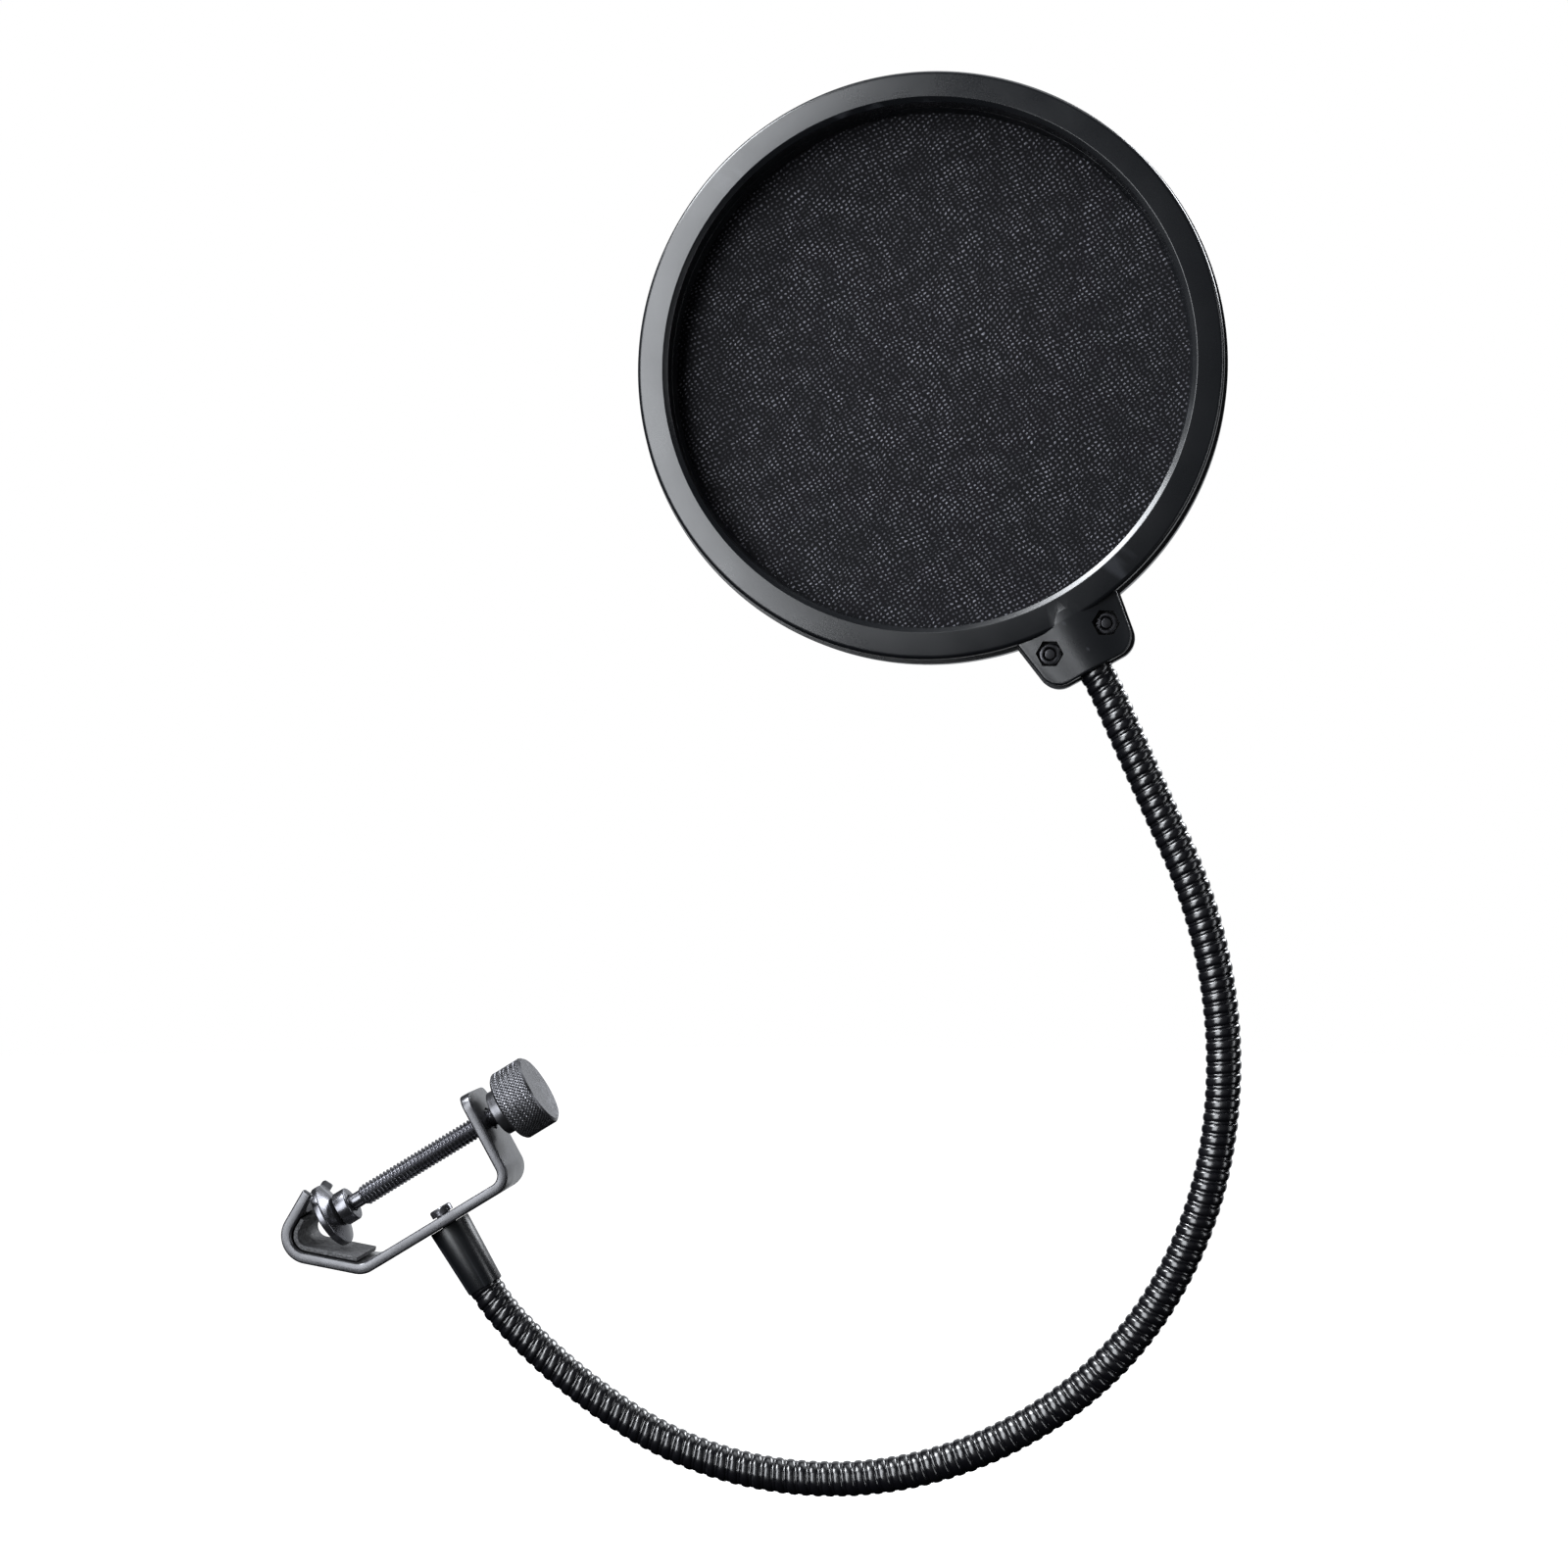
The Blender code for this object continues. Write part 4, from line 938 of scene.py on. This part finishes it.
def makeBackHoop():
    form, tail, fixing = hoopForm, tailForm, fixingForm
    low, high = form["parting"], form["backY"]
    section = [
        (low, form["bore"]),
        (low, form["back"]),
        (high, form["back"]),
        (high, form["housing"]),
        (form["ledge"], form["housing"]),
        (form["ledge"], form["window"]),
    ]
    corners = [(depth, radius, edge) for (depth, radius), edge in zip(section, form["backEdges"])]
    hoop = newPiece("backHoop", hoopRing("backHoop", corners, 8), None, blackPlastic)
    steps = [("UNION", tailBlock("tailBack", 0.0, low, tail["backY"], tail["backEdge"]))]
    floor = tail["backY"] - fixing["headHeight"] - fixing["seatDrop"]
    for v in (-fixing["v"], fixing["v"]):
        radius, seat = fixing["screw"] + fixing["slack"], fixing["head"] + fixing["slack"]
        through, outside = tail["backY"] + tail["overlap"], tail["backY"] + tail["beyond"]
        steps.append(("DIFFERENCE", axleMesh("hole", radius, -tail["overlap"], through, v)))
        steps.append(("DIFFERENCE", axleMesh("seat", seat, floor, outside, v)))
    steps.append(("DIFFERENCE", neckBore()))
    carve(hoop, steps)
    finishCarved(hoop, "screen", ["back_ring"])


netForm = dict(inset=0.05 * mm, rings=40, sides=192, spacerEdge=0.15 * mm)


# net: rings of points out from the middle, front and back faces a thread's thickness apart
def makeNets():
    form = hoopForm
    disc = form["housing"] - form["gap"]
    for node, name, finish in (("front_screen", "frontNet", net), ("back_screen", "backNet", backNet)):
        low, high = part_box(node)
        radii = np.linspace(0, disc, netForm["rings"])
        front = np.full(netForm["rings"], low[1] + netForm["inset"])
        back = np.full(netForm["rings"], high[1] - netForm["inset"])
        profile = np.concatenate([np.stack([front, radii], -1), np.stack([back, radii[::-1]], -1)])
        mesh = weld(gridMesh(name, hoopTurned(profile, netForm["sides"])))
        piece = newPiece(name, mesh, "screen", finish, replaces=[node])
    edge = netForm["spacerEdge"]
    for node, name in (("spacer_hoop", "spacerHoop"), ("retaining_hoop", "retainingHoop")):
        low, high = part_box(node)
        section = rectangle(low[1], high[1], form["window"], disc)
        corners = [(depth, radius, edge) for depth, radius in section[:1] + section[:0:-1]]
        ring = hoopRing(name, corners, 4)
        newPiece(name, ring, "screen", blackPlastic, replaces=[node])


# cones are (distance from the face, radius) pairs; the screw's cross is (half length, half width)
nutForm = dict(
    flats=5.5 * mm, height=1.9 * mm, sides=96, gap=0.3 * mm, bore=0.25 * mm, lip=0.6 * mm, lipDepth=0.3 * mm,
    lowCone=((0.0, 2.5 * mm), (0.08 * mm, 2.72 * mm), (0.22 * mm, 2.95 * mm), (0.5 * mm, 3.25 * mm)),
    highCone=((0.5 * mm, 3.25 * mm), (0.22 * mm, 2.95 * mm), (0.0, 2.6 * mm)))
tailScrewForm = dict(
    gap=0.3 * mm, tipEdge=0.25 * mm, headEdge=0.1 * mm, crown=0.7 * mm, cross=(1.6 * mm, 0.4 * mm),
    crossDepth=0.9 * mm, sides=48)


# radii, one for each level or for each level and angle, turned about a fixing's own axis
def fixingTurned(levels, radii, sides, v):
    angle = np.linspace(0, 2 * math.pi, sides, endpoint=False)
    u = fixingForm["u"] + radii * np.cos(angle)
    depth = np.repeat(levels[:, None], sides, 1)
    return place(np.stack([u, depth, v + radii * np.sin(angle)], -1), hoopAxes)


# a nut: six flats cut by a cone at each face, so the radius is the smaller of the two; the bore is plain
def makeNut(side, v, low):
    form = nutForm
    sides, high = form["sides"], low + form["height"]
    angle = np.linspace(0, 2 * math.pi, sides, endpoint=False)
    flats = form["flats"] / 2 / np.cos((angle % (math.pi / 3)) - math.pi / 6)
    cone = np.array([radius for _, radius in form["lowCone"] + form["highCone"]])[:, None]
    outer = np.minimum(flats[None], cone)
    bore = np.full((2, sides), fixingForm["screw"] + form["bore"])
    lip = np.full((1, sides), fixingForm["screw"] + form["lip"])
    levels = [low + rise for rise, _ in form["lowCone"]] + [high - drop for drop, _ in form["highCone"]]
    levels = np.array(levels + [high, low + form["lipDepth"], low])
    points = fixingTurned(levels, np.concatenate([outer, bore, lip]), sides, v)
    mesh = weld(gridMesh("tailNut", points, ring=True))
    newPiece(f"tailNut{side.capitalize()}", mesh, "screen", fixingMetal, 25,
             [f"tail_nut_{side}"])


def makeTailScrew(side, v, tip):
    form, fixing = tailScrewForm, fixingForm
    head = tailForm["backY"] - fixing["headHeight"] - form["gap"]
    top = head + fixing["headHeight"]
    corners = [
        (tip, 0, 0),
        (tip, fixing["screw"], form["tipEdge"]),
        (head, fixing["screw"], 0),
        (head, fixing["head"], form["headEdge"]),
        (top, fixing["head"], form["crown"]),
        (top, 0, 0),
    ]
    profile = roundedLine(corners, 5, False)
    mesh = weld(gridMesh("tailScrew", fixingTurned(profile[:, 0], profile[:, 1:], form["sides"], v)))
    screw = newPiece(f"tailScrew{side.capitalize()}", mesh, None, fixingMetal)
    arms = []
    for u, w in (form["cross"], form["cross"][::-1]):
        cross = rectangle(fixing["u"] - u, fixing["u"] + u, v - w, v + w)
        arms.append(("DIFFERENCE", block("cross", cross, top - form["crossDepth"], top + 1 * mm, hoopAxes)))
    carve(screw, arms)
    finishCarved(screw, "screen", [f"tail_screw_{side}"])


def makeFixings():
    for side, v in (("left", -fixingForm["v"]), ("right", fixingForm["v"])):
        low = fixingForm["pocketFloor"] - nutForm["gap"] - nutForm["height"]
        makeNut(side, v, low)
        makeTailScrew(side, v, low + tailScrewForm["gap"])
    finishNode("neck_ferrule", steel)


makeFrontHoop()
makeBackHoop()
makeNets()
makeFixings()
print("hoop, nets and fixings made")


studio = dict(
    floor=-0.6, reach=7.0, paper=(0.86, 0.86, 0.86), glow=1.1,
    lampColour=(0.93, 0.96, 1.0), lampAim=(0.12, 0, 0.12),
    lights=dict(
        keyLight=dict(at=(-0.56, -1.2, 0.46), size=(0.76, 1.5), watts=36),
        edgeLight=dict(at=(-0.78, -0.42, 1.27), size=(0.6, 0.6), watts=42),
        topLight=dict(at=(0.35, 0.3, 1.5), size=(1.2, 0.6), watts=6),
        sideLight=dict(at=(1.35, -0.35, 0.15), size=(0.2, 1.1), watts=4),
        frontLight=dict(at=(0.5, -2.2, 0.4), size=(2.0, 1.6), watts=1),
        backLight=dict(at=(0.4, 1.8, 0.5), size=(3.0, 2.4), watts=16),
        rearLight=dict(at=(1.1, 1.3, 1.1), size=(0.8, 0.8), watts=30)),
    camera=(225.29 * mm, -737.85 * mm, 124.96 * mm), aim=(120.44 * mm, 0.0, 124.96 * mm), lens=64.77,
    sensor=36, clip=(0.01, 30))


# a round sheet of pale paper well below the part, which hangs from its clamp; it shows in no reflection and
# throws no light back on the part
def makeFloor():
    angle = np.linspace(0, 2 * math.pi, 96, endpoint=False)
    radius = np.array((0.0, 1.0, studio["reach"]))[:, None]
    level = studio["floor"] + 0 * radius * angle
    points = np.stack([radius * np.cos(angle), radius * np.sin(angle), level], -1)
    floor = bpy.data.objects.new("floor", weld(gridMesh("floor", points)))
    bpy.context.scene.collection.objects.link(floor)
    finish = Finish("floorPaper", studio["paper"], 0.9,
                    Emission_Color=(1, 1, 1, 1), Emission_Strength=studio["glow"])
    finish.relief(finish.noise(4 * mm, 3), 0.05 * mm, 0.2)
    floor.data.materials.append(finish.material)
    floor.visible_glossy = False
    floor.visible_diffuse = False


def turnTo(thing, at, aim):
    thing.location = at
    thing.rotation_euler = (Vector(aim) - Vector(at)).to_track_quat("-Z", "Y").to_euler()
    bpy.context.scene.collection.objects.link(thing)


def softLight(name, at, size, watts):
    lamp = bpy.data.lights.new(name, "AREA")
    lamp.shape = "RECTANGLE"
    lamp.size, lamp.size_y = size
    lamp.energy = watts
    lamp.color = studio["lampColour"]
    turnTo(bpy.data.objects.new(name, lamp), at, studio["lampAim"])


def makeStudio():
    makeFloor()
    for name, light in studio["lights"].items():
        softLight(name, **light)
    world = bpy.data.worlds.new("studioAir")
    bpy.context.scene.world = world
    world.use_nodes = True
    world.node_tree.nodes["Background"].inputs["Color"].default_value = (1, 1, 1, 1)
    world.node_tree.nodes["Background"].inputs["Strength"].default_value = 1.0
    world.cycles_visibility.glossy = False
    world.cycles_visibility.diffuse = False
    bpy.context.scene.view_settings.view_transform = "Standard"
    eye = bpy.data.cameras.new("camera")
    eye.lens, eye.sensor_width = studio["lens"], studio["sensor"]
    eye.clip_start, eye.clip_end = studio["clip"]
    camera = bpy.data.objects.new("camera", eye)
    turnTo(camera, studio["camera"], studio["aim"])
    bpy.context.scene.camera = camera


makeStudio()
print("studio set")
